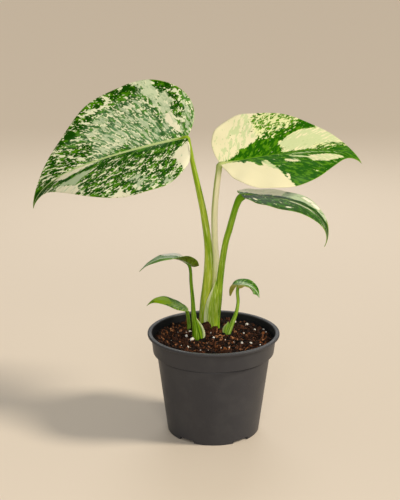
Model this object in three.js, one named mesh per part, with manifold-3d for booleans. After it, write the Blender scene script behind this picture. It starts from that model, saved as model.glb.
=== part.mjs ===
// A young variegated swiss cheese plant: six leaves on their own stems, in potting soil, in a nursery pot.
// Millimetres, +Z up. The origin is the centre of the pot's base, on the surface that the pot stands on.
// The front of the plant faces -Y: the large leaves spread to the left (-X) and to the right (+X).

import * as THREE from "three";
import { mergeVertices } from "three/addons/utils/BufferGeometryUtils.js";
import Module from "manifold-3d";

const wasm = await Module();
wasm.setup();

// Space left between two solids that touch on the real plant
const seatGap = 0.3;

// Corners closer together than this count as one
const weldDistance = 1e-3;

// The pot: a 12 cm round nursery pot with a rolled lip, a wide band under it and a tapered body
const pot = {
  lipRadius: 60,
  height: 94,
  lipDepth: 2.6,
  bandTopRadius: 57.2,
  bandBottomRadius: 55,
  bandBottomHeight: 75.5,
  bodyTopRadius: 51.7,
  baseRadius: 42,
  wall: 1.2,
  edgeRound: 0.8,
  footWidth: 3.5,
  floorHeight: 4,
  padRadius: 15,
  padSlope: 2,
  segments: 60,
};

// Five drain notches through the foot ring, each with a round drain hole in the floor beside it
const drain = {
  count: 5,
  firstAngle: -54,
  notchWidth: 16,
  notchHeight: 3,
  holeRadius: 4,
  holeSides: 14,
  holeCircleRadius: 29,
};

// The soil fills the pot, and rises a little round the crown of the plant
const soil = {
  level: 85.5,
  crownRise: 3,
  crownSpread: 20,
  rings: 17,
  segments: 72,
  lumpCount: 150,
  lumpRadius: [3, 7],
  lumpHeight: [0.3, 2.2],
  chunkCount: 20,
  chunkRadius: [1.8, 3.4],
  chunkShape: [1.2, 0.9, 0.75],
  chunkLift: 0.15,
  rimMargin: 5,
  seed: 71,
};

// Where the plant leaves the soil: the crown of the three long stems first, then the three small stems.
// The soil is level inside each foot's radius.
const feet = [
  { x: -3, y: 27, radius: 12 },
  { x: -13.5, y: -0.5, radius: 8 },
  { x: -22, y: 21, radius: 4 },
  { x: 12.5, y: 11.5, radius: 6 },
];
const footMargin = 3;

// Two large bark chunks that lie in front of the crown: x, y and radius
const crownChunks = [
  { x: -8, y: 10.5, radius: 4 },
  { x: 1, y: 9.5, radius: 3.2 },
];

// Leaves. The outline of one half is given as fractions of the length and of the half width.
// lobe is how far the half reaches back behind the stem, shoulder is how far in front of the stem its corner
// lies, and flank is its width halfway to the tip.
const halfOutline = ({ lobe, shoulder = 0.035, flank = 0.84 }) => [
  [0, 0],
  [-0.45 * lobe, 0.09],
  [-lobe, 0.3],
  [-0.75 * lobe, 0.56],
  [shoulder, 0.81],
  [0.115 + shoulder, 0.975],
  [0.32, 1],
  [0.52, flank],
  [0.71, 0.485],
  [0.87, 0.155],
  [1, 0],
];

const blade = {
  thickness: 0.8,
  veinBend: 0.25,
  ridgeShare: 0.05,
  waves: 6,
  lobeShare: 0.11,
};

// A leaf's midrib starts at root and runs for length. Its heading is azimuth, in degrees from +X, and turns
// by turn. It climbs at pitch, which changes by bend along the leaf and by droop near the tip. The blade is
// rolled about the midrib by roll, and by twist more at the tip. Left and right are as seen from the root
// towards the tip: fold lifts a half, arch curls it on towards its margin, and baseFold lifts it near the
// root. The margin waves by wave, and the midrib stands out below by ridge. The side veins up to lobeVeins,
// as a share of all, spread from the root, and the others leave the midrib further on, by veinPower.
const leaves = {
  large_left: {
    root: [-23.8, 4.5, 271.6],
    length: 161,
    halfWidth: 66,
    azimuth: 173,
    turn: 1,
    pitch: -13,
    bend: -10.5,
    droop: -56,
    droopPower: 6,
    roll: -38,
    twist: 4,
    left: { fold: 14.5, arch: -5, baseFold: 0, lobe: 0.022 },
    right: { fold: 16.5, arch: 0, baseFold: 0, lobe: 0.056, flank: 0.875 },
    baseFade: 0.3,
    lobeCurl: -1,
    ridge: 1.6,
    wave: 0.8,
    lobeVeins: 0.3,
    veinPower: 1.2,
    rows: 20,
    columns: [0.3, 0.55, 0.8, 1],
    colour: 0x4f8a3c,
  },
  large_right: {
    root: [5.5, 16.5, 245.4],
    length: 143.5,
    halfWidth: 52.5,
    azimuth: 21,
    turn: -5,
    pitch: 6,
    bend: -4,
    droop: -55,
    droopPower: 6,
    roll: 24.5,
    twist: 15,
    left: { fold: 10.5, arch: -4, baseFold: 0, lobe: -0.015, shoulder: 0.08 },
    right: { fold: 12, arch: -6, baseFold: 0, lobe: 0, shoulder: 0.06 },
    baseFade: 0.3,
    lobeCurl: 0,
    ridge: 1.4,
    wave: 0.6,
    lobeVeins: 0,
    veinPower: 1.6,
    rows: 20,
    columns: [0.3, 0.55, 0.8, 1],
    colour: 0xb9c98f,
  },
  drooping: {
    root: [24.5, 2, 221.1],
    length: 101.5,
    halfWidth: 31.5,
    azimuth: -11.5,
    turn: -6,
    pitch: -1.5,
    bend: -5,
    droop: -112,
    droopPower: 3,
    roll: -3,
    twist: 5,
    left: { fold: 5.5, arch: -10, baseFold: 0, lobe: 0.057 },
    right: { fold: 4, arch: -9, baseFold: 0, lobe: 0.033 },
    baseFade: 0.3,
    lobeCurl: 0,
    ridge: 1.2,
    wave: 0.4,
    lobeVeins: 0.3,
    veinPower: 1.2,
    rows: 20,
    columns: [0.35, 0.7, 1],
    colour: 0x5e8f55,
  },
  small_left: {
    root: [-21.2, 0, 156.3],
    length: 51.5,
    halfWidth: 14.3,
    azimuth: 198,
    turn: -8,
    pitch: 44,
    bend: -97,
    droop: 7,
    droopPower: 3,
    roll: 8.5,
    twist: -5,
    left: { fold: 2, arch: 0, baseFold: 30, lobe: 0.09 },
    right: { fold: 7, arch: 0, baseFold: 13, lobe: 0.17 },
    baseFade: 0.3,
    lobeCurl: 1.5,
    ridge: 0.5,
    wave: 0.3,
    lobeVeins: 0.3,
    veinPower: 1.2,
    rows: 16,
    columns: [0.5, 1],
    colour: 0x6f9a68,
  },
  seedling_left: {
    root: [-24.1, 18, 108.1],
    length: 42.5,
    halfWidth: 10,
    azimuth: 192,
    turn: 9,
    pitch: 35,
    bend: -14,
    droop: -70,
    droopPower: 3,
    roll: -5,
    twist: -13,
    left: { fold: -7, arch: 0, baseFold: 16, lobe: 0.03 },
    right: { fold: -1, arch: 0, baseFold: 5, lobe: 0.04 },
    baseFade: 0.3,
    lobeCurl: 0,
    ridge: 0.4,
    wave: 0.2,
    lobeVeins: 0.3,
    veinPower: 1.2,
    rows: 14,
    columns: [0.5, 1],
    colour: 0x86a83c,
  },
  small_right: {
    root: [22.3, 12, 133.7],
    length: 29.5,
    halfWidth: 12.3,
    azimuth: 44,
    turn: -47,
    pitch: 6,
    bend: -76,
    droop: -7,
    droopPower: 3,
    roll: -15,
    twist: 64,
    left: { fold: 6, arch: 0, baseFold: -8, lobe: 0.29 },
    right: { fold: -2, arch: 0, baseFold: -6, lobe: 0.12 },
    baseFade: 0.4,
    lobeCurl: -1,
    ridge: 0.4,
    wave: 0.2,
    lobeVeins: 0.3,
    veinPower: 1.2,
    rows: 16,
    columns: [0.5, 1],
    colour: 0x4f8a4a,
  },
};

// Stems, from the leaf's root down into the soil: x, y, z and radius of each point of the route
const stems = {
  large_left: [
    [-23.8, 4.5, 271.6, 2.2],
    [-22.1, 5.5, 265.5, 2.1],
    [-18.9, 9, 248.7, 2.1],
    [-13.9, 14, 224.5, 2.6],
    [-8.2, 19, 195.3, 3.1],
    [-4.6, 23, 164.1, 3.6],
    [-4.4, 25, 144.5, 4.4],
    [-5.6, 26, 127.8, 4.8],
    [-7, 26.5, 115, 5.1],
    [-8, 27, 97, 5.3],
    [-8, 27, 86, 5.2],
    [-8, 27, 74, 5],
  ],
  large_right: [
    [5.5, 16.5, 245.4, 3],
    [4.5, 18, 239.6, 2.7],
    [1, 25, 202.6, 2.9],
    [1.2, 28.5, 171.1, 2.9],
    [2.4, 30.5, 152.6, 3],
    [2.6, 32, 132, 3],
    [0.8, 33, 113, 3.1],
    [-1, 33.5, 96, 3.3],
    [-1, 33.5, 86, 3.3],
    [-1, 33.5, 75, 3.3],
  ],
  drooping: [
    [24.5, 2, 221.1, 4.6],
    [22.4, 3, 216.5, 3.8],
    [19.1, 5, 207.6, 2.8],
    [13.9, 10, 186.5, 2.9],
    [11.3, 12.5, 176.5, 2.8],
    [8.2, 17.5, 156.2, 2.9],
    [6, 21.5, 135, 3.2],
    [4.6, 23.5, 115, 3.4],
    [2.6, 25, 95, 3.5],
    [2.6, 25, 86, 3.5],
    [2.6, 25, 74, 3.4],
  ],
  small_left: [
    [-21.2, 0, 156.3, 1.4],
    [-20.7, 0, 150.2, 1.4],
    [-20.4, 0, 141.9, 1.3],
    [-18.8, 0, 122.8, 1.6],
    [-17.9, 0, 108, 2.2],
    [-16.6, 0, 97, 3],
    [-16, 0, 88, 3.4],
    [-16, 0, 82, 3.3],
    [-16, 0, 76, 3.2],
  ],
  seedling_left: [
    [-24.1, 18, 108.1, 1.6],
    [-23.2, 20, 99.6, 1.7],
    [-22.5, 21, 91, 1.9],
    [-22.5, 21, 84, 1.9],
    [-22.5, 21, 77, 1.9],
  ],
  small_right: [
    [22.3, 12, 133.7, 1.5],
    [21.8, 12, 128, 1.5],
    [22.5, 12, 118.6, 1.5],
    [21.2, 12, 108.8, 1.7],
    [18.5, 12, 100.9, 2],
    [15.4, 12, 93, 2.4],
    [13, 12, 86, 2.5],
    [11.6, 12, 82, 2.5],
    [10.2, 12, 78, 2.5],
  ],
};

// Sheaths: each is a small pointed blade that wraps the foot of its stem, and grows as one with it
const sheathForm = {
  lobeVeins: 0.3,
  veinPower: 1.2,
  rows: 8,
  columns: [0.5, 1],
  turn: 0,
  bend: 0,
  droop: 0,
  droopPower: 3,
  twist: 0,
  baseFade: 0.3,
  lobeCurl: 0,
  ridge: 0.3,
  wave: 0,
};
const sheaths = {
  drooping: {
    ...sheathForm,
    root: [-2, 18.6, 89.8],
    length: 49,
    halfWidth: 8,
    azimuth: 0,
    pitch: 85,
    roll: -90,
    left: { fold: 8, arch: 55, baseFold: 0, lobe: 0 },
    right: { fold: 8, arch: 22, baseFold: 0, lobe: 0 },
  },
  small_left: {
    ...sheathForm,
    root: [-11.2, -1.8, 87.5],
    length: 22,
    halfWidth: 4.6,
    azimuth: 180,
    pitch: 77,
    roll: 90,
    left: { fold: 0, arch: 25, baseFold: 0, lobe: 0 },
    right: { fold: 0, arch: 15, baseFold: 0, lobe: 0 },
  },
  small_right: {
    ...sheathForm,
    root: [11.2, 10.4, 88.2],
    length: 12,
    halfWidth: 3.6,
    azimuth: 0,
    pitch: 78,
    roll: -90,
    left: { fold: 0, arch: 25, baseFold: 0, lobe: 0 },
    right: { fold: 0, arch: 30, baseFold: 0, lobe: 0 },
  },
};

// How finely stems and midribs are divided
const stemSides = 10;
const stemStep = 7;
const midribSteps = 60;

// The distance over which a blade's slope is measured, and the curl that stands for none, in degrees
const probe = 0.5;
const leastCurl = 1e-4;

// Colours of the plain parts
const colours = { pot: 0x3c3835, soil: 0x2e1d14, stem: 0x7ba03a, paleStem: 0xd9d9a0 };

const degrees = (angle) => THREE.MathUtils.degToRad(angle);

// Seeded random numbers between 0 and 1
function randomSource(seed) {
  let state = seed;
  return () => {
    state = (state + 0x6d2b79f5) | 0;
    let mixed = Math.imul(state ^ (state >>> 15), 1 | state);
    mixed = (mixed + Math.imul(mixed ^ (mixed >>> 7), 61 | mixed)) ^ mixed;
    return ((mixed ^ (mixed >>> 14)) >>> 0) / 4294967296;
  };
}

// Solids

function solidOf(geometry) {
  const bare = geometry.clone();
  bare.deleteAttribute("normal");
  bare.deleteAttribute("uv");
  const merged = mergeVertices(bare, weldDistance);
  const index = Array.from(merged.index.array);
  const triangles = [];
  for (let i = 0; i < index.length; i += 3) {
    const [a, b, c] = index.slice(i, i + 3);
    if (a !== b && b !== c && c !== a) {
      triangles.push(a, b, c);
    }
  }
  const mesh = new wasm.Mesh({
    numProp: 3,
    vertProperties: Float32Array.from(merged.attributes.position.array),
    triVerts: Uint32Array.from(triangles),
  });
  return new wasm.Manifold(mesh);
}

function geometryOf(solid) {
  const mesh = solid.getMesh();
  const geometry = new THREE.BufferGeometry();
  geometry.setAttribute("position", new THREE.BufferAttribute(mesh.vertProperties, 3));
  geometry.setIndex(new THREE.BufferAttribute(mesh.triVerts, 1));
  geometry.computeVertexNormals();
  return geometry;
}

// The largest body of a cut solid: scraps that a cut leaves loose are dropped
function largestBody(solid) {
  const bodies = solidOf(geometryOf(solid)).decompose();
  bodies.sort((one, other) => other.volume() - one.volume());
  return bodies[0];
}

// Leaf blades

// The midrib as a list of places with the heading, the leftward direction and the upward normal there
function midribOf(leaf) {
  const frames = [];
  const place = new THREE.Vector3(...leaf.root);
  const step = leaf.length / midribSteps;
  for (let i = 0; i <= midribSteps; i += 1) {
    const along = i / midribSteps;
    const heading = degrees(leaf.azimuth + leaf.turn * along);
    const climb = degrees(leaf.pitch + leaf.bend * along + leaf.droop * along ** leaf.droopPower);
    const roll = degrees(leaf.roll + leaf.twist * along);
    const forward = new THREE.Vector3(
      Math.cos(heading) * Math.cos(climb),
      Math.sin(heading) * Math.cos(climb),
      Math.sin(climb),
    );
    const level = new THREE.Vector3(-Math.sin(heading), Math.cos(heading), 0);
    const upright = forward.clone().cross(level);
    const left = level.clone().multiplyScalar(Math.cos(roll)).addScaledVector(upright, Math.sin(roll));
    const up = upright.clone().multiplyScalar(Math.cos(roll)).addScaledVector(level, -Math.sin(roll));
    if (i > 0) {
      const mean = frames[i - 1].forward.clone().add(forward).multiplyScalar(0.5);
      place.addScaledVector(mean, step);
    }
    frames.push({ place: place.clone(), forward, left, up });
  }
  return frames;
}

function midribFrame(frames, along) {
  const spot = THREE.MathUtils.clamp(along, 0, 1) * midribSteps;
  const i = Math.min(Math.floor(spot), midribSteps - 1);
  const blend = (key) => frames[i][key].clone().lerp(frames[i + 1][key], spot - i);
  return { place: blend("place"), forward: blend("forward"), left: blend("left"), up: blend("up") };
}

// A point of the blade's middle surface, u along the midrib and v across it, in millimetres on the flat leaf
function bladePoint(leaf, frames, u, v) {
  const frame = midribFrame(frames, u / leaf.length);
  const half = v > 0 ? leaf.left : leaf.right;
  const reach = Math.abs(v);
  const behind = Math.min(u, 0);
  const fade = 1 - THREE.MathUtils.smoothstep(u / leaf.length, 0, leaf.baseFade);
  const start = degrees(half.fold + half.baseFold * fade);
  const curl = degrees(half.arch || leastCurl) / leaf.halfWidth;
  const across = (Math.sin(start + curl * reach) - Math.sin(start)) / curl;
  const lift = (Math.cos(start) - Math.cos(start + curl * reach)) / curl;
  const backCurl = leaf.lobeCurl * (behind / (blade.lobeShare * leaf.length)) ** 2;
  return frame.place
    .addScaledVector(frame.forward, behind)
    .addScaledVector(frame.left, Math.sign(v) * across)
    .addScaledVector(frame.up, lift + backCurl);
}

// The closed blade of a leaf. Its rows follow the side veins from the midrib to the margin.
function bladeGeometry(leaf) {
  const frames = midribOf(leaf);
  const positions = [];
  const index = [];
  const columns = [0, blade.ridgeShare, ...leaf.columns];
  const half = blade.thickness / 2;

  function addPoint(u, v, row, across) {
    const swing = Math.sin(Math.PI * row) * Math.sin(2 * Math.PI * blade.waves * row);
    const wave = leaf.wave * across ** 2 * swing;
    const alongStep = bladePoint(leaf, frames, u + probe, v).sub(bladePoint(leaf, frames, u - probe, v));
    const acrossStep = bladePoint(leaf, frames, u, v + probe).sub(bladePoint(leaf, frames, u, v - probe));
    const normal = alongStep.cross(acrossStep).normalize();
    const middle = bladePoint(leaf, frames, u, v).addScaledVector(normal, wave);
    const ridge = across === 0 ? leaf.ridge * (1 - THREE.MathUtils.clamp(u / leaf.length, 0, 1)) : 0;
    const top = middle.clone().addScaledVector(normal, half);
    const under = middle.clone().addScaledVector(normal, -half - ridge);
    positions.push(...top.toArray(), ...under.toArray());
    return positions.length / 6 - 1;
  }

  function addHalf(side, form) {
    const outline = new THREE.SplineCurve(halfOutline(form).map(([x, y]) => new THREE.Vector2(x, y)));
    const grid = [];
    for (let i = 0; i <= leaf.rows; i += 1) {
      const row = i / leaf.rows;
      const edge = outline.getPoint(row);
      const pastLobe = Math.max(0, row - leaf.lobeVeins) / (1 - leaf.lobeVeins);
      const veinStart = pastLobe ** leaf.veinPower;
      const edgeU = edge.x * leaf.length;
      const edgeV = edge.y * leaf.halfWidth;
      const startU = veinStart * leaf.length;
      grid.push(columns.map((across) => {
        const bent = (1 - blade.veinBend) * across + blade.veinBend * across * across;
        return addPoint(startU + (edgeU - startU) * bent, side * edgeV * across, row, across);
      }));
    }
    const top = (point) => 2 * point;
    const under = (point) => 2 * point + 1;
    const quad = (a, b, c, d) => {
      const turned = side > 0 ? [a, b, c, a, c, d] : [a, c, b, a, d, c];
      index.push(...turned);
    };
    for (let i = 0; i < leaf.rows; i += 1) {
      for (let j = 0; j < columns.length - 1; j += 1) {
        const corners = [grid[i][j], grid[i + 1][j], grid[i + 1][j + 1], grid[i][j + 1]];
        quad(...corners.map(top));
        const [a, b, c, d] = corners.map(under);
        index.push(...(side > 0 ? [a, c, b, a, d, c] : [a, b, c, a, c, d]));
      }
      const last = columns.length - 1;
      const [one, other] = [grid[i][last], grid[i + 1][last]];
      quad(top(one), top(other), under(other), under(one));
    }
  }

  addHalf(1, leaf.left);
  addHalf(-1, leaf.right);
  const geometry = new THREE.BufferGeometry();
  geometry.setAttribute("position", new THREE.Float32BufferAttribute(positions, 3));
  geometry.setIndex(index);
  return geometry;
}

// Stems

// A tapered round rod along a route, closed at both ends. grow widens it all round, and where a leaf is
// given the rod's first end is cut slanting, flush under that leaf.
function stemGeometry(route, grow = 0, leaf = null) {
  const stops = route.map(([x, y, z]) => new THREE.Vector3(x, y, z));
  const path = new THREE.CatmullRomCurve3(stops, false, "centripetal");
  const rings = Math.ceil(path.getLength() / stemStep);
  const positions = [];
  const index = [];
  const across = new THREE.Vector3(0, 1, 0);
  for (let i = 0; i <= rings; i += 1) {
    const spot = i / rings;
    const place = path.getPoint(spot);
    const forward = path.getTangent(spot);
    const radius = radiusAt(route, spot) + grow;
    const side = forward.clone().cross(across).normalize();
    const front = side.clone().cross(forward);
    for (let j = 0; j < stemSides; j += 1) {
      const angle = (2 * Math.PI * j) / stemSides;
      const rim = place.clone()
        .addScaledVector(side, radius * Math.cos(angle))
        .addScaledVector(front, radius * Math.sin(angle));
      if (leaf && i === 0) {
        slideUnder(leaf, rim, forward);
      }
      positions.push(...rim.toArray());
    }
  }
  for (let i = 0; i < rings; i += 1) {
    for (let j = 0; j < stemSides; j += 1) {
      const a = i * stemSides + j;
      const b = i * stemSides + ((j + 1) % stemSides);
      index.push(a, a + stemSides, b, b, a + stemSides, b + stemSides);
    }
  }
  for (let j = 1; j < stemSides - 1; j += 1) {
    const last = rings * stemSides;
    index.push(0, j, j + 1, last, last + j + 1, last + j);
  }
  const geometry = new THREE.BufferGeometry();
  geometry.setAttribute("position", new THREE.Float32BufferAttribute(positions, 3));
  geometry.setIndex(index);
  return geometry;
}

// Moves a point along a direction until it lies just under the leaf's root
function slideUnder(leaf, point, direction) {
  const [{ place, up }] = midribOf(leaf);
  const under = blade.thickness / 2 + leaf.ridge + 1.5 * seatGap;
  const height = point.clone().sub(place).dot(up);
  point.addScaledVector(direction, -(height + under) / direction.dot(up));
}

// Radius of a route at a spot between 0 and 1, blended between its points
function radiusAt(route, spot) {
  const place = spot * (route.length - 1);
  const i = Math.min(Math.floor(place), route.length - 2);
  return THREE.MathUtils.lerp(route[i][3], route[i + 1][3], place - i);
}

// A stem with its sheath, cut clear of the stems beside it
function stemSolid(name, neighbours) {
  let solid = solidOf(stemGeometry(stems[name], 0, leaves[name]));
  if (sheaths[name]) {
    solid = solid.add(solidOf(bladeGeometry(sheaths[name])));
  }
  for (const neighbour of neighbours) {
    solid = solid.subtract(solidOf(stemGeometry(stems[neighbour], seatGap)));
  }
  return largestBody(solid);
}

// The plain round hole in the soil that a stem's straight foot stands in
function stemHole(name) {
  const [above, below] = stems[name].slice(-2);
  const top = new THREE.Vector3(...above.slice(0, 3));
  const bottom = new THREE.Vector3(...below.slice(0, 3));
  const down = bottom.clone().sub(top).normalize();
  const radius = above[3] + 1.5 * seatGap;
  bottom.addScaledVector(down, seatGap);
  top.addScaledVector(down, (soil.level + 2 * soil.crownRise - top.z) / down.z);
  const hole = new THREE.CylinderGeometry(radius, radius, top.distanceTo(bottom), 2 * stemSides);
  hole.rotateX(Math.PI / 2);
  hole.lookAt(down);
  const middle = top.clone().lerp(bottom, 0.5);
  hole.translate(...middle.toArray());
  return solidOf(hole);
}

// The pot

// Outer radius of the pot's body and of the band at a height
const bodyRadius = (height) =>
  THREE.MathUtils.mapLinear(height, 0, pot.bandBottomHeight, pot.baseRadius, pot.bodyTopRadius);
const bandRadius = (height) => {
  const { bandBottomHeight, bandBottomRadius, bandTopRadius } = pot;
  return THREE.MathUtils.mapLinear(height, bandBottomHeight, pot.height, bandBottomRadius, bandTopRadius);
};

// Inside the pot: the floor, the ledge that the band makes, and the dish of the centre pad
const floorTop = pot.floorHeight + pot.wall;
const ledgeTop = pot.bandBottomHeight + pot.wall;
const padInset = pot.wall / 2;

function potSolid() {
  const round = pot.edgeRound;
  const footInner = pot.baseRadius - pot.footWidth;
  const lipUnder = pot.height - pot.lipDepth;
  const mouthRadius = pot.bandTopRadius - pot.wall;
  const profile = [
    [0, 0],
    [pot.padRadius, 0],
    [pot.padRadius + pot.padSlope, pot.floorHeight],
    [footInner - round, pot.floorHeight],
    [footInner, 0],
    [pot.baseRadius - round, 0],
    [bodyRadius(round), round],
    [pot.bodyTopRadius, pot.bandBottomHeight],
    [pot.bandBottomRadius - round, pot.bandBottomHeight],
    [bandRadius(pot.bandBottomHeight + round), pot.bandBottomHeight + round],
    [bandRadius(lipUnder), lipUnder],
    [pot.lipRadius - round, lipUnder],
    [pot.lipRadius, lipUnder + round],
    [pot.lipRadius, pot.height - round],
    [pot.lipRadius - round, pot.height],
    [mouthRadius + round, pot.height],
    [mouthRadius, pot.height - round],
    [bandRadius(ledgeTop) - pot.wall, ledgeTop],
    [pot.bodyTopRadius - pot.wall, ledgeTop],
    [bodyRadius(floorTop) - pot.wall, floorTop],
    [pot.padRadius + pot.padSlope - padInset, floorTop],
    [pot.padRadius - padInset, pot.wall],
    [0, pot.wall],
  ];
  const shell = new THREE.LatheGeometry(profile.map(([r, z]) => new THREE.Vector2(r, z)), pot.segments);
  shell.rotateX(Math.PI / 2);
  let solid = solidOf(shell);
  for (let i = 0; i < drain.count; i += 1) {
    const angle = degrees(drain.firstAngle + (360 / drain.count) * i);
    const notch = new THREE.BoxGeometry(3 * pot.footWidth, drain.notchWidth, 2 * drain.notchHeight);
    notch.translate(pot.baseRadius - pot.footWidth / 2, 0, 0);
    notch.rotateZ(angle);
    const { holeRadius, holeSides } = drain;
    const hole = new THREE.CylinderGeometry(holeRadius, holeRadius, 2 * floorTop, holeSides);
    hole.rotateX(Math.PI / 2);
    hole.translate(drain.holeCircleRadius, 0, floorTop);
    hole.rotateZ(angle);
    solid = solid.subtract(solidOf(notch)).subtract(solidOf(hole));
  }
  return solid;
}

// The soil

// The soil's lumps: place, radius and height of each, drawn at random
function soilLumps() {
  const random = randomSource(soil.seed);
  const between = ([low, high]) => low + (high - low) * random();
  return Array.from({ length: soil.lumpCount }, () => {
    const distance = pot.bandBottomRadius * Math.sqrt(random());
    const angle = 2 * Math.PI * random();
    return {
      x: distance * Math.cos(angle),
      y: distance * Math.sin(angle),
      radius: between(soil.lumpRadius),
      height: between(soil.lumpHeight),
    };
  });
}

function soilHeight(lumps, x, y) {
  const fromCrown = Math.hypot(x - feet[0].x, y - feet[0].y) / soil.crownSpread;
  const mound = soil.level + soil.crownRise * Math.exp(-0.5 * fromCrown ** 2);
  let lump = 0;
  for (const { x: lumpX, y: lumpY, radius, height } of lumps) {
    const share = Math.hypot(x - lumpX, y - lumpY) / radius;
    if (share < 1) {
      lump = Math.max(lump, height * Math.sqrt(1 - share * share));
    }
  }
  return mound + lump * footClearance(x, y);
}

// 0 at the plant's feet and 1 away from them
function footClearance(x, y) {
  const clearances = feet.map((foot) => {
    const distance = Math.hypot(x - foot.x, y - foot.y);
    return THREE.MathUtils.smoothstep(distance, foot.radius, foot.radius + footMargin);
  });
  return Math.min(...clearances);
}

function soilSolid() {
  const clear = pot.wall + seatGap;
  const padClear = padInset + 2 * seatGap;
  const bottom = floorTop + seatGap;
  const ledge = ledgeTop + seatGap;
  const profile = [
    [0, clear],
    [pot.padRadius - padClear, clear],
    [pot.padRadius + pot.padSlope - padClear, bottom],
    [bodyRadius(bottom) - clear, bottom],
    [pot.bodyTopRadius - clear, ledge],
    [bandRadius(ledge) - clear, ledge],
  ];
  const topRadius = bandRadius(soil.level) - clear;
  const topStart = profile.length;
  for (let i = 0; i < soil.rings; i += 1) {
    profile.push([topRadius * (1 - i / soil.rings), soil.level]);
  }
  profile.push([0, soil.level]);
  const geometry = new THREE.LatheGeometry(profile.map(([r, z]) => new THREE.Vector2(r, z)), soil.segments);
  geometry.rotateX(Math.PI / 2);
  const lumps = soilLumps();
  const position = geometry.attributes.position;
  const ringSize = profile.length;
  for (let i = 0; i < position.count; i += 1) {
    if (i % ringSize >= topStart) {
      position.setZ(i, soilHeight(lumps, position.getX(i), position.getY(i)));
    }
  }
  let solid = solidOf(geometry);
  for (const chunk of barkChunks(lumps)) {
    solid = solid.add(solidOf(chunk));
  }
  for (const name of Object.keys(stems)) {
    solid = solid.subtract(stemHole(name));
  }
  return largestBody(solid);
}

// Loose bark: small angular pieces, sunk well into the soil's surface
function barkChunks(lumps) {
  const random = randomSource(soil.seed + 1);
  const [least, most] = soil.chunkRadius;
  const scattered = Array.from({ length: soil.chunkCount }, () => {
    const distance = (pot.bodyTopRadius - soil.rimMargin) * Math.sqrt(random());
    const angle = 2 * Math.PI * random();
    const radius = least + (most - least) * random();
    return { x: distance * Math.cos(angle), y: distance * Math.sin(angle), radius };
  });
  const clear = scattered.filter(({ x, y }) => footClearance(x, y) === 1);
  return [...crownChunks, ...clear].map(({ x, y, radius }) => {
    const chunk = new THREE.IcosahedronGeometry(radius);
    chunk.scale(...soil.chunkShape);
    chunk.rotateX((random() * Math.PI) / 4);
    chunk.rotateZ(random() * Math.PI);
    chunk.translate(x, y, soilHeight(lumps, x, y) + soil.chunkLift * radius);
    return chunk;
  });
}

// The whole plant

const plant = new THREE.Group();

function addNode(name, solid, colour, roughness) {
  const material = new THREE.MeshStandardMaterial({ color: colour, roughness, metalness: 0 });
  const mesh = new THREE.Mesh(geometryOf(solid), material);
  mesh.name = name;
  plant.add(mesh);
}

// The stems that each stem's sheath is cut clear of
const stemNeighbours = {
  large_left: [],
  large_right: [],
  drooping: ["large_left", "large_right"],
  small_left: [],
  seedling_left: [],
  small_right: [],
};

addNode("pot", potSolid(), colours.pot, 0.6);
addNode("soil", soilSolid(), colours.soil, 0.95);
for (const [name, neighbours] of Object.entries(stemNeighbours)) {
  const colour = name === "large_right" ? colours.paleStem : colours.stem;
  addNode(`stem_${name}`, stemSolid(name, neighbours), colour, 0.45);
  addNode(`leaf_${name}`, solidOf(bladeGeometry(leaves[name])), leaves[name].colour, 0.4);
}

export default plant;
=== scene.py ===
# The looks of a young variegated swiss cheese plant in its nursery pot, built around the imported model.
# Blender works in metres, +Z up, and the front of the plant faces -Y.
# The plant's own values are in millimetres and degrees, and mm turns them into metres.

import bmesh
import bpy
import numpy as np
from mathutils import Color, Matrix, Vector, noise


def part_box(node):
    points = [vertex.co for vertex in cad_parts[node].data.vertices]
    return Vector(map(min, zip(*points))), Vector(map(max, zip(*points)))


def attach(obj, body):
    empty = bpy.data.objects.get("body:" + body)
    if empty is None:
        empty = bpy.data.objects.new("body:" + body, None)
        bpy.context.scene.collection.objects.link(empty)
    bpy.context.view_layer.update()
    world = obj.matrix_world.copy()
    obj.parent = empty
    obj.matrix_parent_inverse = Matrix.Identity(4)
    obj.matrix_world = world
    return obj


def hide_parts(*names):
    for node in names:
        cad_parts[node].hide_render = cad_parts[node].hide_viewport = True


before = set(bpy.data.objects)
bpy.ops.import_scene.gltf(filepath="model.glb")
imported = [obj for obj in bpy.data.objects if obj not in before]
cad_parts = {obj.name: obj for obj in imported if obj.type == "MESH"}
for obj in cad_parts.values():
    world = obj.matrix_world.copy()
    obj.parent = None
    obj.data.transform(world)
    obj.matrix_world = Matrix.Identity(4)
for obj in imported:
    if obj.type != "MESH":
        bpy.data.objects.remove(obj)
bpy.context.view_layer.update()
scene = bpy.context.scene
mm = 0.001
tiny = 1e-6  # metres, closer than this two corners are one


# Camera, light and floor

cameraView = {
    "place": (-0.0123, -1.0119, 0.4599),
    "tilt": 74.05,  # degrees up from straight down
    "lens": 85,
    "sensor": 36,
}

studio = {
    "target": (0, 0, 0.16),
    "floorRadius": 15,
    "floorSides": 64,
    "floorColour": "#dfd3c3",
    "floorRoughness": 0.75,
    "skyColour": "#fdf9f3",
    "skyStrength": 0.27,
    # a key light gives watts to a square metre and an angle in degrees, the others watts and metres
    "keyLight": {"from": (1.0, -0.22, 0.8), "angle": 13, "power": 2.55, "colour": "#fff3e0"},
    "lights": {
        "fillFront": {"place": (0.05, -1.3, 0.7), "size": 0.8, "power": 8.0, "colour": "#fffbf4"},
        "highBack": {"place": (0.05, 1.0, 0.85), "size": 0.8, "power": 3.4, "colour": "#ffffff"},
    },
}


# A colour written as #rrggbb, as Blender's own linear red, green, blue and alpha
def linearColour(code):
    channels = [int(code[i:i + 2], 16) / 255 for i in (1, 3, 5)]
    return (*Color(channels).from_srgb_to_scene_linear(), 1)


def makeCamera():
    data = bpy.data.cameras.new("camera")
    data.lens = cameraView["lens"]
    data.sensor_width = cameraView["sensor"]
    camera = bpy.data.objects.new("camera", data)
    camera.location = cameraView["place"]
    camera.rotation_euler = (np.radians(cameraView["tilt"]), 0, 0)
    scene.collection.objects.link(camera)
    scene.camera = camera


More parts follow.
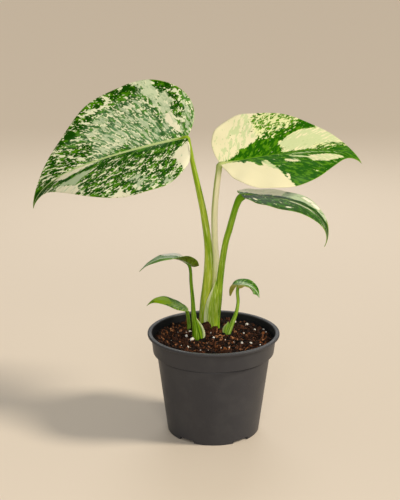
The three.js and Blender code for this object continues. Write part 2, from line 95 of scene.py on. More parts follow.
def makeLights():
    target = Vector(studio["target"])
    key = studio["keyLight"]
    data = bpy.data.lights.new("keyRight", "SUN")
    data.angle = np.radians(key["angle"])
    data.energy = key["power"]
    data.color = linearColour(key["colour"])[:3]
    lamp = bpy.data.objects.new("keyRight", data)
    lamp.location = target + Vector(key["from"])
    lamp.rotation_euler = Vector(key["from"]).to_track_quat("Z", "Y").to_euler()
    scene.collection.objects.link(lamp)
    for name, light in studio["lights"].items():
        data = bpy.data.lights.new(name, "AREA")
        data.shape = "DISK"
        data.size = light["size"]
        data.energy = light["power"]
        data.color = linearColour(light["colour"])[:3]
        lamp = bpy.data.objects.new(name, data)
        lamp.location = light["place"]
        lamp.rotation_euler = (target - lamp.location).to_track_quat("-Z", "Y").to_euler()
        scene.collection.objects.link(lamp)


def makeStudio():
    world = bpy.data.worlds.new("studioSky")
    world.use_nodes = True
    sky = world.node_tree.nodes["Background"]
    sky.inputs["Color"].default_value = linearColour(studio["skyColour"])
    sky.inputs["Strength"].default_value = studio["skyStrength"]
    scene.world = world
    scene.view_settings.view_transform = "Standard"

    mesh = bpy.data.meshes.new("floor")
    shape = bmesh.new()
    bmesh.ops.create_circle(
        shape, cap_ends=True, segments=studio["floorSides"], radius=studio["floorRadius"])
    shape.to_mesh(mesh)
    shape.free()
    floor = bpy.data.objects.new("floor", mesh)
    scene.collection.objects.link(floor)
    material = bpy.data.materials.new("paleFloor")
    material.use_nodes = True
    surface = material.node_tree.nodes["Principled BSDF"]
    surface.inputs["Base Color"].default_value = linearColour(studio["floorColour"])
    surface.inputs["Roughness"].default_value = studio["floorRoughness"]
    mesh.materials.append(material)


# Node building: an input is given a value or another node's output

def addNode(tree, kind, inputs=None, **settings):
    node = tree.nodes.new(kind)
    for name, value in settings.items():
        setattr(node, name, value)
    for name, value in (inputs or {}).items():
        if isinstance(value, bpy.types.NodeSocket):
            tree.links.new(value, node.inputs[name])
        else:
            node.inputs[name].default_value = value
    return node


def maths(tree, operation, one, other=0.0, clamp=False):
    node = addNode(tree, "ShaderNodeMath", {0: one, 1: other}, operation=operation, use_clamp=clamp)
    return node.outputs[0]


def plus(tree, one, other):
    return maths(tree, "ADD", one, other)


def times(tree, one, other):
    return maths(tree, "MULTIPLY", one, other)


def vectorMaths(tree, operation, one, other):
    inputs = {0: one, "Scale" if operation == "SCALE" else 1: other}
    return addNode(tree, "ShaderNodeVectorMath", inputs, operation=operation).outputs[0]


# Two colours blended. A mix node has sockets for each kind of data, and these are the ones for colours.
mixSockets = {"factor": 0, "one": 6, "other": 7, "result": 2}


def blendColours(tree, factor, one, other):
    sockets = {mixSockets["factor"]: factor, mixSockets["one"]: one, mixSockets["other"]: other}
    return addNode(tree, "ShaderNodeMix", sockets, data_type="RGBA").outputs[mixSockets["result"]]


# A colour with another one, given as #rrggbb, laid over it by a mask
def layOver(tree, colour, mask, code):
    return blendColours(tree, mask, colour, linearColour(code))


def remap(tree, value, fromLow, fromHigh, toLow=0.0, toHigh=1.0, smooth=True):
    inputs = {"Value": value, "From Min": fromLow, "From Max": fromHigh, "To Min": toLow, "To Max": toHigh}
    kind = "SMOOTHSTEP" if smooth else "LINEAR"
    return addNode(tree, "ShaderNodeMapRange", inputs, interpolation_type=kind).outputs["Result"]


def attribute(tree, name, output="Fac"):
    return addNode(tree, "ShaderNodeAttribute", attribute_name=name).outputs[output]


def largest(tree, value, *others):
    for other in others:
        value = maths(tree, "MAXIMUM", value, other)
    return value


socketKinds = {
    "float": "NodeSocketFloat", "whole": "NodeSocketInt", "flag": "NodeSocketBool",
    "vector": "NodeSocketVector", "geometry": "NodeSocketGeometry", "material": "NodeSocketMaterial",
}


# A node group with named inputs, each a kind and a value to start from, and named outputs
def newGroup(name, inputs, outputs, treeKind="ShaderNodeTree"):
    group = bpy.data.node_groups.new(name, treeKind)
    for socketName, (kind, value) in inputs.items():
        socket = group.interface.new_socket(socketName, in_out="INPUT", socket_type=socketKinds[kind])
        if value is not None:
            socket.default_value = value
    for socketName, kind in outputs.items():
        group.interface.new_socket(socketName, in_out="OUTPUT", socket_type=socketKinds[kind])
    return group, group.nodes.new("NodeGroupInput").outputs, group.nodes.new("NodeGroupOutput").inputs


def fillGroup(tree, group, inputs):
    return addNode(tree, "ShaderNodeGroup", inputs, node_tree=group)


def separated(tree, vector):
    return addNode(tree, "ShaderNodeSeparateXYZ", {0: vector}).outputs


def combined(tree, x=0.0, y=0.0, z=0.0):
    return addNode(tree, "ShaderNodeCombineXYZ", {"X": x, "Y": y, "Z": z}).outputs[0]


# Jagged flecks, drawn out along the place's second direction. Amount is the share that they cover.
# Mask is 1 inside a fleck, and Halo is a wider and softer rim around it.
fleckNoise = {
    "scale": 0.55, "detail": 3.0, "roughness": 0.6,
    "slope": 0.08, "tail": 0.125, "tailPower": 7.0,  # the noise level for each share of the surface
    "rim": 0.015,
}


def fleckGroup():
    look = fleckNoise
    group, given, out = newGroup("veinFlecks", {
        "Place": ("vector", None),
        "Amount": ("float", 0.5),
        "Size": ("float", 1.0),
        "Stretch": ("float", 3.0),
        "Seed": ("float", 0.0),
        "Softness": ("float", 0.01),
    }, {"Mask": "float", "Halo": "float"})
    across = maths(group, "DIVIDE", look["scale"], given["Size"])
    along = maths(group, "DIVIDE", across, given["Stretch"])
    scale = combined(group, across, along, across)
    inputs = {
        "Vector": vectorMaths(group, "MULTIPLY", given["Place"], scale), "W": given["Seed"],
        "Scale": 1.0, "Detail": look["detail"], "Roughness": look["roughness"],
    }
    flecks = addNode(group, "ShaderNodeTexNoise", inputs, noise_dimensions="4D").outputs["Fac"]

    # the noise level that has Amount of the surface above it
    side = remap(group, given["Amount"], 0, 1, 1, -1, smooth=False)
    slope = times(group, side, look["slope"])
    tail = times(group, maths(group, "POWER", side, look["tailPower"]), look["tail"])
    edge = plus(group, plus(group, slope, tail), 0.5)
    low = maths(group, "SUBTRACT", edge, given["Softness"])
    high = plus(group, edge, given["Softness"])
    group.links.new(remap(group, flecks, low, high), out["Mask"])
    group.links.new(remap(group, flecks, maths(group, "SUBTRACT", low, look["rim"]), high), out["Halo"])
    return group


streakNoise = {"Scale": 1.0, "Detail": 3.0, "Roughness": 0.55}
grainNoise = {"Detail": 3.0, "Roughness": 0.6}


# Streaks along the place's third direction, from 0 to 1
def streakGroup():
    group, given, out = newGroup("lengthStreaks", {
        "Place": ("vector", None),
        "Fineness": ("float", 1.0),
        "Length": ("float", 20.0),
        "Contrast": ("float", 2.0),
        "Seed": ("float", 0.0),
    }, {"Streak": "float"})
    along = maths(group, "DIVIDE", given["Fineness"], given["Length"])
    fine = given["Fineness"]
    place = vectorMaths(group, "MULTIPLY", given["Place"], combined(group, fine, fine, along))
    inputs = {"Vector": place, "W": given["Seed"], **streakNoise}
    streaks = addNode(group, "ShaderNodeTexNoise", inputs, noise_dimensions="4D").outputs["Fac"]
    centred = maths(group, "SUBTRACT", streaks, 0.5)
    strong = times(group, centred, given["Contrast"])
    group.links.new(maths(group, "ADD", strong, 0.5, clamp=True), out["Streak"])
    return group


# Fine grain on Object coordinates, as a tone about 0.5, which also serves as the height for a Bump node
def grainGroup():
    group, given, out = newGroup("fineGrain", {"Size": ("float", 0.001)}, {"Tone": "float"})
    place = addNode(group, "ShaderNodeTexCoord").outputs["Object"]
    scale = maths(group, "DIVIDE", 1, given["Size"])
    inputs = {"Vector": place, "Scale": scale, **grainNoise}
    grain = addNode(group, "ShaderNodeTexNoise", inputs).outputs["Fac"]
    group.links.new(grain, out["Tone"])
    return group


# Nearly all of the grain's tones lie between these
toneSpan = (0.3, 0.7)


def grainTone(tree, groups, size):
    return fillGroup(tree, groups["grain"], {"Size": size}).outputs["Tone"]


# A material with one Principled BSDF. Its gloss is the same all over, and so is its roughness if given here.
def newMaterial(name, gloss, roughness=None):
    material = bpy.data.materials.new(name)
    material.use_nodes = True
    tree = material.node_tree
    surface = tree.nodes["Principled BSDF"]
    surface.inputs["Specular IOR Level"].default_value = gloss
    if roughness is not None:
        surface.inputs["Roughness"].default_value = roughness
    return material, tree, surface


def addBump(tree, surface, height, distance):
    bump = addNode(tree, "ShaderNodeBump", {"Height": height, "Distance": distance})
    tree.links.new(bump.outputs["Normal"], surface.inputs["Normal"])


# Meshes

# A mesh object with its doubled corners merged. values holds one array for each named attribute.
def makeObject(name, corners, faces, material, values):
    mesh = bpy.data.meshes.new(name)
    mesh.from_pydata(corners, [], faces)
    for key, array in values.items():
        vector = array.ndim == 2
        layer = mesh.attributes.new(key, "FLOAT_VECTOR" if vector else "FLOAT", "POINT")
        layer.data.foreach_set("vector" if vector else "value", np.asarray(array, np.float32).ravel())
    shape = bmesh.new()
    shape.from_mesh(mesh)
    bmesh.ops.remove_doubles(shape, verts=shape.verts, dist=tiny)
    bmesh.ops.dissolve_degenerate(shape, edges=shape.edges, dist=tiny)
    shape.to_mesh(mesh)
    shape.free()
    mesh.materials.append(material)
    mesh.polygons.foreach_set("use_smooth", [True] * len(mesh.polygons))
    piece = bpy.data.objects.new(name, mesh)
    scene.collection.objects.link(piece)
    return piece


# The mesh that an object has once its modifiers have worked
def workedMesh(piece):
    graph = bpy.context.evaluated_depsgraph_get()
    return bpy.data.meshes.new_from_object(
        piece.evaluated_get(graph), preserve_all_data_layers=True, depsgraph=graph)


# The object with its modifiers worked into a plain mesh
def applied(piece):
    mesh = workedMesh(piece)
    mesh.name = piece.name
    piece.modifiers.clear()
    piece.data = mesh
    return piece


# A modifier that builds an object by a Geometry Nodes tree, its inputs set by the sockets' identifiers
def addTree(piece, tree, values):
    modifier = piece.modifiers.new("build", "NODES")
    modifier.node_group = tree
    for item in tree.interface.items_tree:
        if item.in_out == "INPUT" and item.name in values:
            modifier[item.identifier] = values[item.name]


# Puts a finished piece under the root body and hides the imported nodes that it stands for
def dress(piece, slot, *nodes):
    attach(piece, "root")
    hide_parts(*nodes)


# Says how far a piece's box is from its node's box
def reportFit(piece, node):
    low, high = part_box(node)
    corners = np.array([corner.co for corner in piece.data.vertices])
    drift = max(np.abs(corners.min(0) - low).max(), np.abs(corners.max(0) - high).max())
    print(f"{piece.name}: {len(piece.data.polygons)} faces, box within {drift / mm:.2f} mm of {node}")


def smoothStep(values, low, high):
    share = np.clip((values - low) / (high - low), 0, 1)
    return share * share * (3 - 2 * share)


# The pot

potShape = {
    "lipRadius": 60,
    "height": 94,
    "lipDepth": 2.6,
    "lipEdge": (1.0, 0.1),  # how far under the top the lip's painted highlight begins and is full
    "bandTopRadius": 57.2,
    "bandBottomRadius": 55,
    "bandBottomHeight": 75.5,
    "bodyTopRadius": 51.7,
    "baseRadius": 42,
    "wall": 1.2,
    "groove": 0.8,
    "grooveStart": 2.6,  # how far under the band the groove begins and is full
    "grooveFull": 1.4,
    "footWidth": 3.5,
    "floorHeight": 4,
    "padRadius": 15,
    "padSlope": 2,
    "segments": 216,
    "arcSteps": 5,
    "notches": 5,
    "firstNotch": -54,  # degrees
    "notchWidth": 16,
    "notchHeight": 3,
    "holeRadius": 4,
    "holeCircle": 29,
    "holeSides": 32,
    "sharpAngle": 35,
}

potFinish = {
    "colour": "#36363a",
    "lighter": "#3c3c3f",
    # painted shade: the pot's inside is coloured darker
    "shadedInside": "#1b1d20",
    # painted highlight along the lip's top outer rounding
    "lip": "#404144",
    "roughness": (0.4, 0.5),
    "gloss": 0.28,
    "grain": 0.0011,
    "grainDepth": 0.00008,
    "scuffs": 0.018,
    "scuffTones": (0.42, 0.72),  # where scuffs come in
}


def potRadius(height):
    low, high = potShape["baseRadius"], potShape["bodyTopRadius"]
    return low + (high - low) * height / potShape["bandBottomHeight"]


def bandRadius(height):
    low, high = potShape["bandBottomRadius"], potShape["bandTopRadius"]
    start = potShape["bandBottomHeight"]
    return low + (high - low) * (height - start) / (potShape["height"] - start)


# A profile with its corners rounded: each corner is radius, height and the size of its rounding
def roundedProfile(corners, steps):
    places = [np.array(corner[:2], float) for corner in corners]
    profile = [places[0]]
    for i in range(1, len(corners) - 1):
        back = places[i - 1] - places[i]
        ahead = places[i + 1] - places[i]
        size = corners[i][2]
        start = places[i] + back / np.linalg.norm(back) * size
        end = places[i] + ahead / np.linalg.norm(ahead) * size
        for share in np.linspace(0, 1, steps + 1):
            rest = 1 - share
            profile.append(rest ** 2 * start + 2 * share * rest * places[i] + share ** 2 * end)
    profile.append(places[-1])
    return np.array(profile)


# A profile turned round the Z axis. It starts and ends on the axis, so the shape is closed.
def turned(profile, segments):
    angles = np.linspace(0, 2 * np.pi, segments, endpoint=False)
    radius, height = profile.T
    x = np.outer(np.cos(angles), radius)
    y = np.outer(np.sin(angles), radius)
    z = np.tile(height, (segments, 1))
    corners = np.stack([x, y, z], -1).reshape(-1, 3)
    count = len(profile)
    faces = []
    for i in range(segments):
        here = i * count
        there = (i + 1) % segments * count
        for j in range(count - 1):
            faces.append((here + j, there + j, there + j + 1, here + j + 1))
    return corners, faces


def makePot(material):
    shape = potShape
    wall = shape["wall"]
    floorTop = shape["floorHeight"] + wall
    ledgeTop = shape["bandBottomHeight"] + wall
    lipUnder = shape["height"] - shape["lipDepth"]
    footInner = shape["baseRadius"] - shape["footWidth"]
    padFoot = shape["padRadius"] + shape["padSlope"]
    grooveRadius = shape["bodyTopRadius"] - shape["groove"]
    grooveStart = shape["bandBottomHeight"] - shape["grooveStart"]
    corners = [
        (0, 0, 0),
        (shape["padRadius"], 0, 0.5),
        (padFoot, shape["floorHeight"], 0.8),
        (footInner - 0.8, shape["floorHeight"], 0.5),
        (footInner, 0, 0.4),
        (shape["baseRadius"], 0, 1.1),
        (potRadius(grooveStart), grooveStart, 0.5),
        (grooveRadius, shape["bandBottomHeight"] - shape["grooveFull"], 0.6),
        (grooveRadius, shape["bandBottomHeight"], 0.2),
        (shape["bandBottomRadius"], shape["bandBottomHeight"], 0.5),
        (bandRadius(lipUnder), lipUnder, 0.6),
        (shape["lipRadius"], lipUnder, 1.1),
        (shape["lipRadius"], shape["height"], 1.2),
        (shape["bandTopRadius"] - wall, shape["height"], 1.3),
        (bandRadius(ledgeTop) - wall, ledgeTop, 0.6),
        (shape["bodyTopRadius"] - wall, ledgeTop, 0.6),
        (potRadius(floorTop) - wall, floorTop, 0.8),
        (padFoot - wall / 2, floorTop, 0.5),
        (shape["padRadius"] - wall / 2, wall, 0.5),
        (0, wall, 0),
    ]
    profile = roundedProfile(corners, shape["arcSteps"])
    points, faces = turned(profile, shape["segments"])
    peak = int(profile[:, 1].argmax())
    # the pot's inside, which is coloured darker as painted shade
    shadedInside = (np.arange(len(profile)) > peak + shape["arcSteps"]).astype(float)
    # a painted highlight along the lip's top outer rounding, on the outside only
    edgeStart, edgeFull = shape["lipEdge"]
    lipEdge = smoothStep(profile[:, 1], shape["height"] - edgeStart, shape["height"] - edgeFull)
    values = {"shadedInside": shadedInside, "lipEdge": lipEdge * (1 - shadedInside)}
    values = {key: np.tile(array, shape["segments"]) for key, array in values.items()}
    pot = makeObject("nurseryPot", points * mm, faces, material, values)

    cutShape = bmesh.new()
    for i in range(shape["notches"]):
        angle = np.radians(shape["firstNotch"] + 360 / shape["notches"] * i)
        turn = Vector((np.cos(angle), np.sin(angle), 0))
        notch = bmesh.ops.create_cube(cutShape, size=1)["verts"]
        size = Vector((3 * shape["footWidth"], shape["notchWidth"], 2 * shape["notchHeight"])) * mm
        middle = turn * (shape["baseRadius"] - shape["footWidth"] / 2) * mm
        bmesh.ops.scale(cutShape, vec=size, verts=notch)
        bmesh.ops.rotate(cutShape, verts=notch, matrix=turn.to_track_quat("X", "Z").to_matrix())
        bmesh.ops.translate(cutShape, vec=middle, verts=notch)
        radius = shape["holeRadius"] * mm
        hole = bmesh.ops.create_cone(
            cutShape, cap_ends=True, segments=shape["holeSides"], radius1=radius, radius2=radius,
            depth=2 * floorTop * mm)["verts"]
        middle = turn * shape["holeCircle"] * mm + Vector((0, 0, floorTop * mm))
        bmesh.ops.translate(cutShape, vec=middle, verts=hole)
    cutMesh = bpy.data.meshes.new("potCuts")
    cutShape.to_mesh(cutMesh)
    cutShape.free()
    cuts = bpy.data.objects.new("potCuts", cutMesh)
    scene.collection.objects.link(cuts)
    cutter = pot.modifiers.new("drainage", "BOOLEAN")
    cutter.operation = "DIFFERENCE"
    cutter.solver = "EXACT"
    cutter.object = cuts
    pot = applied(pot)
    bpy.data.objects.remove(cuts)
    pot.data.set_sharp_from_angle(angle=np.radians(shape["sharpAngle"]))
    return pot


def potMaterial(groups):
    look = potFinish
    material, tree, surface = newMaterial("mattePlastic", look["gloss"])
    scuffs = grainTone(tree, groups, look["scuffs"])
    scuffed = remap(tree, scuffs, *look["scuffTones"])
    colour = layOver(tree, linearColour(look["colour"]), scuffed, look["lighter"])
    # painted shade inside the pot
    colour = layOver(tree, colour, attribute(tree, "shadedInside"), look["shadedInside"])
    # painted highlight along the lip's top
    colour = layOver(tree, colour, attribute(tree, "lipEdge"), look["lip"])
    tree.links.new(colour, surface.inputs["Base Color"])
    tree.links.new(remap(tree, scuffs, *toneSpan, *look["roughness"]), surface.inputs["Roughness"])
    addBump(tree, surface, grainTone(tree, groups, look["grain"]), look["grainDepth"])
    return material


# The soil

soilShape = {
    "level": 85.5,
    "crownRise": 3,
    "crownSpread": 20,
    "rings": 62,
    "segments": 230,
    "lumpCount": 150,
    "lumpRadius": (3, 7),
    "lumpHeight": (0.3, 2.2),
    "seed": 71,
    "seatGap": 0.3,
    "crumble": 0.9,  # how deep the fine unevenness goes
    "crumbleSize": 2.6,
    "crumbleNoise": (0.6, 2, 4),  # how rough it is, and the spacing and number of its octaves
    "bareEdge": (0.4, 1.4),  # crumbs begin this far from the soil's edge, and are all there by the second
    "bareFoot": 0.35,  # and this clear of a foot
}

soilFinish = {
    # the soil under the crumbs is near black: the peat's own dark colour, made darker still as painted shade
    # in the gaps between the crumbs
    "darkest": "#070302",
    "dark": "#1d0f08",
    "patches": "#2a160b",
    "grain": 0.0016,
    "grainDepth": 0.0012,
    "grainTones": (0.35, 0.7),
    "patchSize": 0.007,
    "patchTones": (0.52, 0.75),
    "roughness": 0.95,
    "gloss": 0.2,
}

# Where the stems stand: the soil is level there. x, y and radius
feet = [(-3, 27, 12), (-13.5, -0.5, 8), (-22, 21, 4), (12.5, 11.5, 6)]
footMargin = 3


# Seeded random numbers between 0 and 1, the same ones on every machine
def randomSource(seed):
    state = seed
    word = 0xffffffff
    while True:
        state = (state + 0x6d2b79f5) & word
        mixed = ((state ^ state >> 15) * (1 | state)) & word
        mixed = ((mixed + ((mixed ^ mixed >> 7) * (61 | mixed) & word)) ^ mixed) & word
        yield (mixed ^ mixed >> 14) / (word + 1)


def soilLumps():
    draw = randomSource(soilShape["seed"])
    lumps = []
    for _ in range(soilShape["lumpCount"]):
        distance = potShape["bandBottomRadius"] * next(draw) ** 0.5
        angle = 2 * np.pi * next(draw)
        low, high = soilShape["lumpRadius"]
        radius = low + (high - low) * next(draw)
        low, high = soilShape["lumpHeight"]
        height = low + (high - low) * next(draw)
        lumps.append((distance * np.cos(angle), distance * np.sin(angle), radius, height))
    return lumps


# 0 where a stem stands and 1 away from the stems
def footClearance(x, y):
    clear = np.ones_like(x)
    for footX, footY, radius in feet:
        distance = np.hypot(x - footX, y - footY)
        clear = np.minimum(clear, smoothStep(distance, radius, radius + footMargin))
    return clear


def soilHeight(lumps, x, y):
    fromCrown = np.hypot(x - feet[0][0], y - feet[0][1]) / soilShape["crownSpread"]
    mound = soilShape["level"] + soilShape["crownRise"] * np.exp(-0.5 * fromCrown ** 2)
    lump = np.zeros_like(x)
    for lumpX, lumpY, radius, height in lumps:
        share = np.minimum(np.hypot(x - lumpX, y - lumpY) / radius, 1)
        lump = np.maximum(lump, height * np.sqrt(1 - share * share))
    return mound + lump * footClearance(x, y)


def makeSoil(lumps, material):
    gap = soilShape["seatGap"]
    clear = potShape["wall"] + gap
    bottom = potShape["floorHeight"] + clear
    ledge = potShape["bandBottomHeight"] + clear
    padClear = potShape["wall"] / 2 + 2 * gap
    topRadius = bandRadius(soilShape["level"]) - clear
    rings = np.linspace(topRadius, 0, soilShape["rings"] + 1)
    wallProfile = [
        (0, clear),
        (potShape["padRadius"] - padClear, clear),
        (potShape["padRadius"] + potShape["padSlope"] - padClear, bottom),
        (potRadius(bottom) - clear, bottom),
        (potShape["bodyTopRadius"] - clear, ledge),
        (bandRadius(ledge) - clear, ledge),
    ]
    profile = np.array(wallProfile + [(radius, soilShape["level"]) for radius in rings])
    corners, faces = turned(profile, soilShape["segments"])
    count = len(profile)
    onTop = np.arange(len(corners)) % count >= len(wallProfile)
    x, y = corners[:, 0], corners[:, 1]
    size, kind = soilShape["crumbleSize"], soilShape["crumbleNoise"]
    rough = np.array([noise.fractal(Vector((a, b, 0)) / size, *kind) for a, b in zip(x, y)])
    height = soilHeight(lumps, x, y) + soilShape["crumble"] * rough
    corners[:, 2] = np.where(onTop, height, corners[:, 2])
    inside = np.where(onTop, smoothStep(topRadius - np.hypot(x, y), *soilShape["bareEdge"]), 0.0)
    bare = inside * smoothStep(footClearance(x, y), 0.0, soilShape["bareFoot"])
    toRim = (topRadius - np.hypot(x, y)) * mm
    return makeObject("pottingSoil", corners * mm, faces, material, {"bare": bare, "toRim": toRim})


def soilMaterial(groups):
    look = soilFinish
    material, tree, surface = newMaterial("peat", look["gloss"], look["roughness"])
    grain = grainTone(tree, groups, look["grain"])
    patches = grainTone(tree, groups, look["patchSize"])
    lighter = remap(tree, grain, *look["grainTones"])
    dark = layOver(tree, linearColour(look["darkest"]), lighter, look["dark"])
    colour = layOver(tree, dark, remap(tree, patches, *look["patchTones"]), look["patches"])
    tree.links.new(colour, surface.inputs["Base Color"])
    addBump(tree, surface, grain, look["grainDepth"])
    return material


# What lies in and on the soil. Sizes are radii in metres, density is pieces to a square metre.
scatters = {
    "peatCrumbs": {
        "density": 400000, "least": 0.0006, "most": 0.0023, "shape": (1.3, 0.95, 0.75), "detail": 1,
        "ruggedness": 0.75, "sink": 0.0001, "seed": 3, "material": "crumbs",
    },
    "barkChips": {
        "density": 26000, "least": 0.0014, "most": 0.0031, "shape": (1.5, 0.8, 0.5), "detail": 2,
        "ruggedness": 0.6, "sink": -0.0003, "seed": 11, "material": "bark",
    },
}

# Perlite: x, y and radius of the grains that show from the front
perliteGrains = [
    (-19.5, -8.2, 2.2), (-24.6, 0.9, 1.1), (-24.7, 8.9, 1.0), (-2.2, 8.6, 0.8), (0, -0.4, 1.1),
    (-5.1, -14.7, 0.9), (10.3, -6.4, 1.0), (17.9, -12.1, 0.7), (13.5, -26.1, 0.9), (25.4, -15.4, 1.0),
    (33.2, -12.1, 1.2), (27.9, 11.5, 0.9), (38.3, 22.4, 0.9), (46.6, 22.5, 1.0), (48.5, 14.9, 1.1),
    (-23, -22.3, 1.2), (-28.8, -21, 1.1), (-21.5, 12.6, 1.2), (20.1, 36.4, 1.7), (31.6, 31.2, 1.4),
    (41.5, -18.6, 0.8), (-12, -31, 0.8), (4.5, -37, 0.7), (-38.5, -8, 0.7), (-33, 12, 0.8),
]
perliteScatter = {"count": 64, "reach": 50, "least": 0.2, "most": 0.6, "seed": 29, "clearance": 0.9}

# How many of their largest radii strewn grains keep from the soil's edge, and the seed of the set ones
rimClearance = 1.2
setSeed = 5

# Bark chunks that lie against the crown: x, y, radius, height of the middle over the soil
crownChunks = [
    (-6.9, 15.0, 4.6, 5.2), (-7.4, 12.5, 3.6, 1.2), (1.6, 14.2, 3.3, 1.4), (-2.6, 10.6, 2.8, 0.8),
    (6.4, 13.5, 2.4, 0.9),
]

# What those grains and chunks are like, and how far each is lifted, as a share of its radius
setStones = {
    "perlite": {
        "material": "perlite", "shape": (1.1, 1.0, 0.9), "detail": 3, "ruggedness": 0.35, "lift": 1.1,
    },
    "crownBark": {
        "material": "bark", "shape": (1.05, 0.95, 1.0), "detail": 4, "ruggedness": 0.55, "lift": 0.0,
    },
}

# Every kind of grain has this gloss, and its fine grain darkens and lightens it between these
grainGloss = 0.25
grainShade = (0.6, 1.25)

# The finish of each kind of grain. Its colour ramp starts with its two ends.
grainFinishes = {
    "crumbs": {
        "name": "peatCrumb", "grain": 0.0012, "depth": 0.0006, "roughness": 0.95,
        "colours": [(0, "#080403"), (1, "#b57d54"), (0.55, "#1d0e06"), (0.88, "#5a321a")],
    },
    "bark": {
        "name": "barkChip", "grain": 0.0014, "depth": 0.0008, "roughness": 0.95,
        "colours": [(0, "#1a0d07"), (1, "#94592f"), (0.65, "#3c2010")],
    },
    "perlite": {
        "name": "perliteGrain", "grain": 0.0007, "depth": 0.0004, "roughness": 0.8,
        "colours": [(0, "#ddd8cc"), (1, "#f8f5ee")],
    },
}


# A random value node's first socket and its output, for each kind of value
randomSockets = {"FLOAT_VECTOR": (0, 0), "FLOAT": (2, 1), "INT": (4, 2)}

# The angular shapes, which noise pushes out of round. Most are small, and each side is uneven by a quarter.
grainVariants = {
    "count": 5, "noiseStep": 7.3, "noise": {"Scale": 1.1, "Detail": 2.0, "Roughness": 0.6}, "push": 3,
    "sizePower": 2.2, "uneven": (0.75, 1.25),
}


def pointValue(tree, name):
    inputs = {"Name": name}
    return addNode(tree, "GeometryNodeInputNamedAttribute", inputs, data_type="FLOAT").outputs["Attribute"]


def stored(tree, geometry, name, value, kind="FLOAT", domain="POINT"):
    inputs = {"Geometry": geometry, "Name": name, "Value": value}
    node = addNode(tree, "GeometryNodeStoreNamedAttribute", inputs, data_type=kind, domain=domain)
    return node.outputs["Geometry"]


def moved(tree, geometry, offset):
    inputs = {"Geometry": geometry, "Offset": offset}
    return addNode(tree, "GeometryNodeSetPosition", inputs).outputs["Geometry"]


# Ends a tree: real geometry in its material
def finished(tree, geometry, given, out):
    real = addNode(tree, "GeometryNodeRealizeInstances", {"Geometry": geometry}).outputs["Geometry"]
    done = addNode(tree, "GeometryNodeSetMaterial", {"Geometry": real, "Material": given["Material"]})
    tree.links.new(done.outputs["Geometry"], out["Geometry"])


# A Geometry Nodes tree that strews angular grains over a surface, or sets one on each corner of a mesh.
# A corner's own "grain" value is its size there.
def scatterTree():
    tree, given, out = newGroup("strewnGrains", {
        "Geometry": ("geometry", None),
        "Density": ("float", 100000.0),
        "Least": ("float", 0.001),
        "Most": ("float", 0.002),
        "Shape": ("vector", (1.0, 1.0, 1.0)),
        "Detail": ("whole", 1),
        "Ruggedness": ("float", 0.5),
        "Sink": ("float", 0.0),
        "Rim": ("float", 0.001),
        "On Corners": ("flag", False),
        "Seed": ("whole", 0),
        "Material": ("material", None),
    }, {"Geometry": "geometry"}, "GeometryNodeTree")

    clear = maths(tree, "GREATER_THAN", pointValue(tree, "toRim"), given["Rim"])
    clear = times(tree, pointValue(tree, "bare"), clear)
    strewn = addNode(tree, "GeometryNodeDistributePointsOnFaces", {
        "Mesh": given["Geometry"],
        "Density": times(tree, given["Density"], clear),
        "Seed": given["Seed"],
    }, distribute_method="RANDOM").outputs["Points"]
    placed = addNode(tree, "GeometryNodeMeshToPoints", {"Mesh": given["Geometry"]}).outputs["Points"]
    choice = {"Switch": given["On Corners"], "False": strewn, "True": placed}
    points = addNode(tree, "GeometryNodeSwitch", choice, input_type="GEOMETRY").outputs["Output"]
    drop = combined(tree, z=times(tree, given["Sink"], -1))
    points = moved(tree, points, drop)

    kinds = addNode(tree, "GeometryNodeJoinGeometry")
    ball = addNode(tree, "GeometryNodeMeshIcoSphere", {"Radius": 1.0, "Subdivisions": given["Detail"]})
    place = addNode(tree, "GeometryNodeInputPosition").outputs["Position"]
    for variant in range(grainVariants["count"]):
        inputs = {"Vector": place, "W": grainVariants["noiseStep"] * variant, **grainVariants["noise"]}
        bumps = addNode(tree, "ShaderNodeTexNoise", inputs, noise_dimensions="4D").outputs["Color"]
        centred = vectorMaths(tree, "SUBTRACT", bumps, (0.5, 0.5, 0.5))
        push = times(tree, given["Ruggedness"], grainVariants["push"])
        offset = vectorMaths(tree, "SCALE", centred, push)
        grain = moved(tree, ball.outputs["Mesh"], offset)
        single = addNode(tree, "GeometryNodeGeometryToInstance", {"Geometry": grain})
        tree.links.new(single.outputs["Instances"], kinds.inputs["Geometry"])

    def draw(kind, low, high, shift):
        first, result = randomSockets[kind]
        inputs = {"Seed": plus(tree, given["Seed"], shift), first: low, first + 1: high}
        return addNode(tree, "FunctionNodeRandomValue", inputs, data_type=kind).outputs[result]

    anyTurn = draw("FLOAT_VECTOR", (0, 0, 0), (2 * np.pi,) * 3, 1)
    turn = addNode(tree, "FunctionNodeEulerToRotation", {"Euler": anyTurn}).outputs[0]
    size = maths(tree, "POWER", draw("FLOAT", 0, 1, 2), grainVariants["sizePower"])
    size = remap(tree, size, 0, 1, given["Least"], given["Most"], smooth=False)
    size = plus(tree, size, pointValue(tree, "grain"))
    least, most = grainVariants["uneven"]
    uneven = draw("FLOAT_VECTOR", (least,) * 3, (most,) * 3, 3)
    scale = vectorMaths(tree, "SCALE", vectorMaths(tree, "MULTIPLY", given["Shape"], uneven), size)
    grains = addNode(tree, "GeometryNodeInstanceOnPoints", {
        "Points": points, "Instance": kinds.outputs["Geometry"], "Pick Instance": True,
        "Instance Index": draw("INT", 0, grainVariants["count"] - 1, 4), "Rotation": turn, "Scale": scale,
    }).outputs["Instances"]
    finished(tree, stored(tree, grains, "tone", draw("FLOAT", 0.0, 1.0, 5), domain="INSTANCE"), given, out)
    return tree


# Runs a Geometry Nodes tree on a copy of an object's mesh and returns the result as a plain piece
def runTree(name, source, tree, values):
    piece = bpy.data.objects.new(name, source.data.copy())
    scene.collection.objects.link(piece)
    addTree(piece, tree, values)
    piece = applied(piece)
    for material in list(piece.data.materials):
        if material is None:
            piece.data.materials.pop(index=0)
    return piece


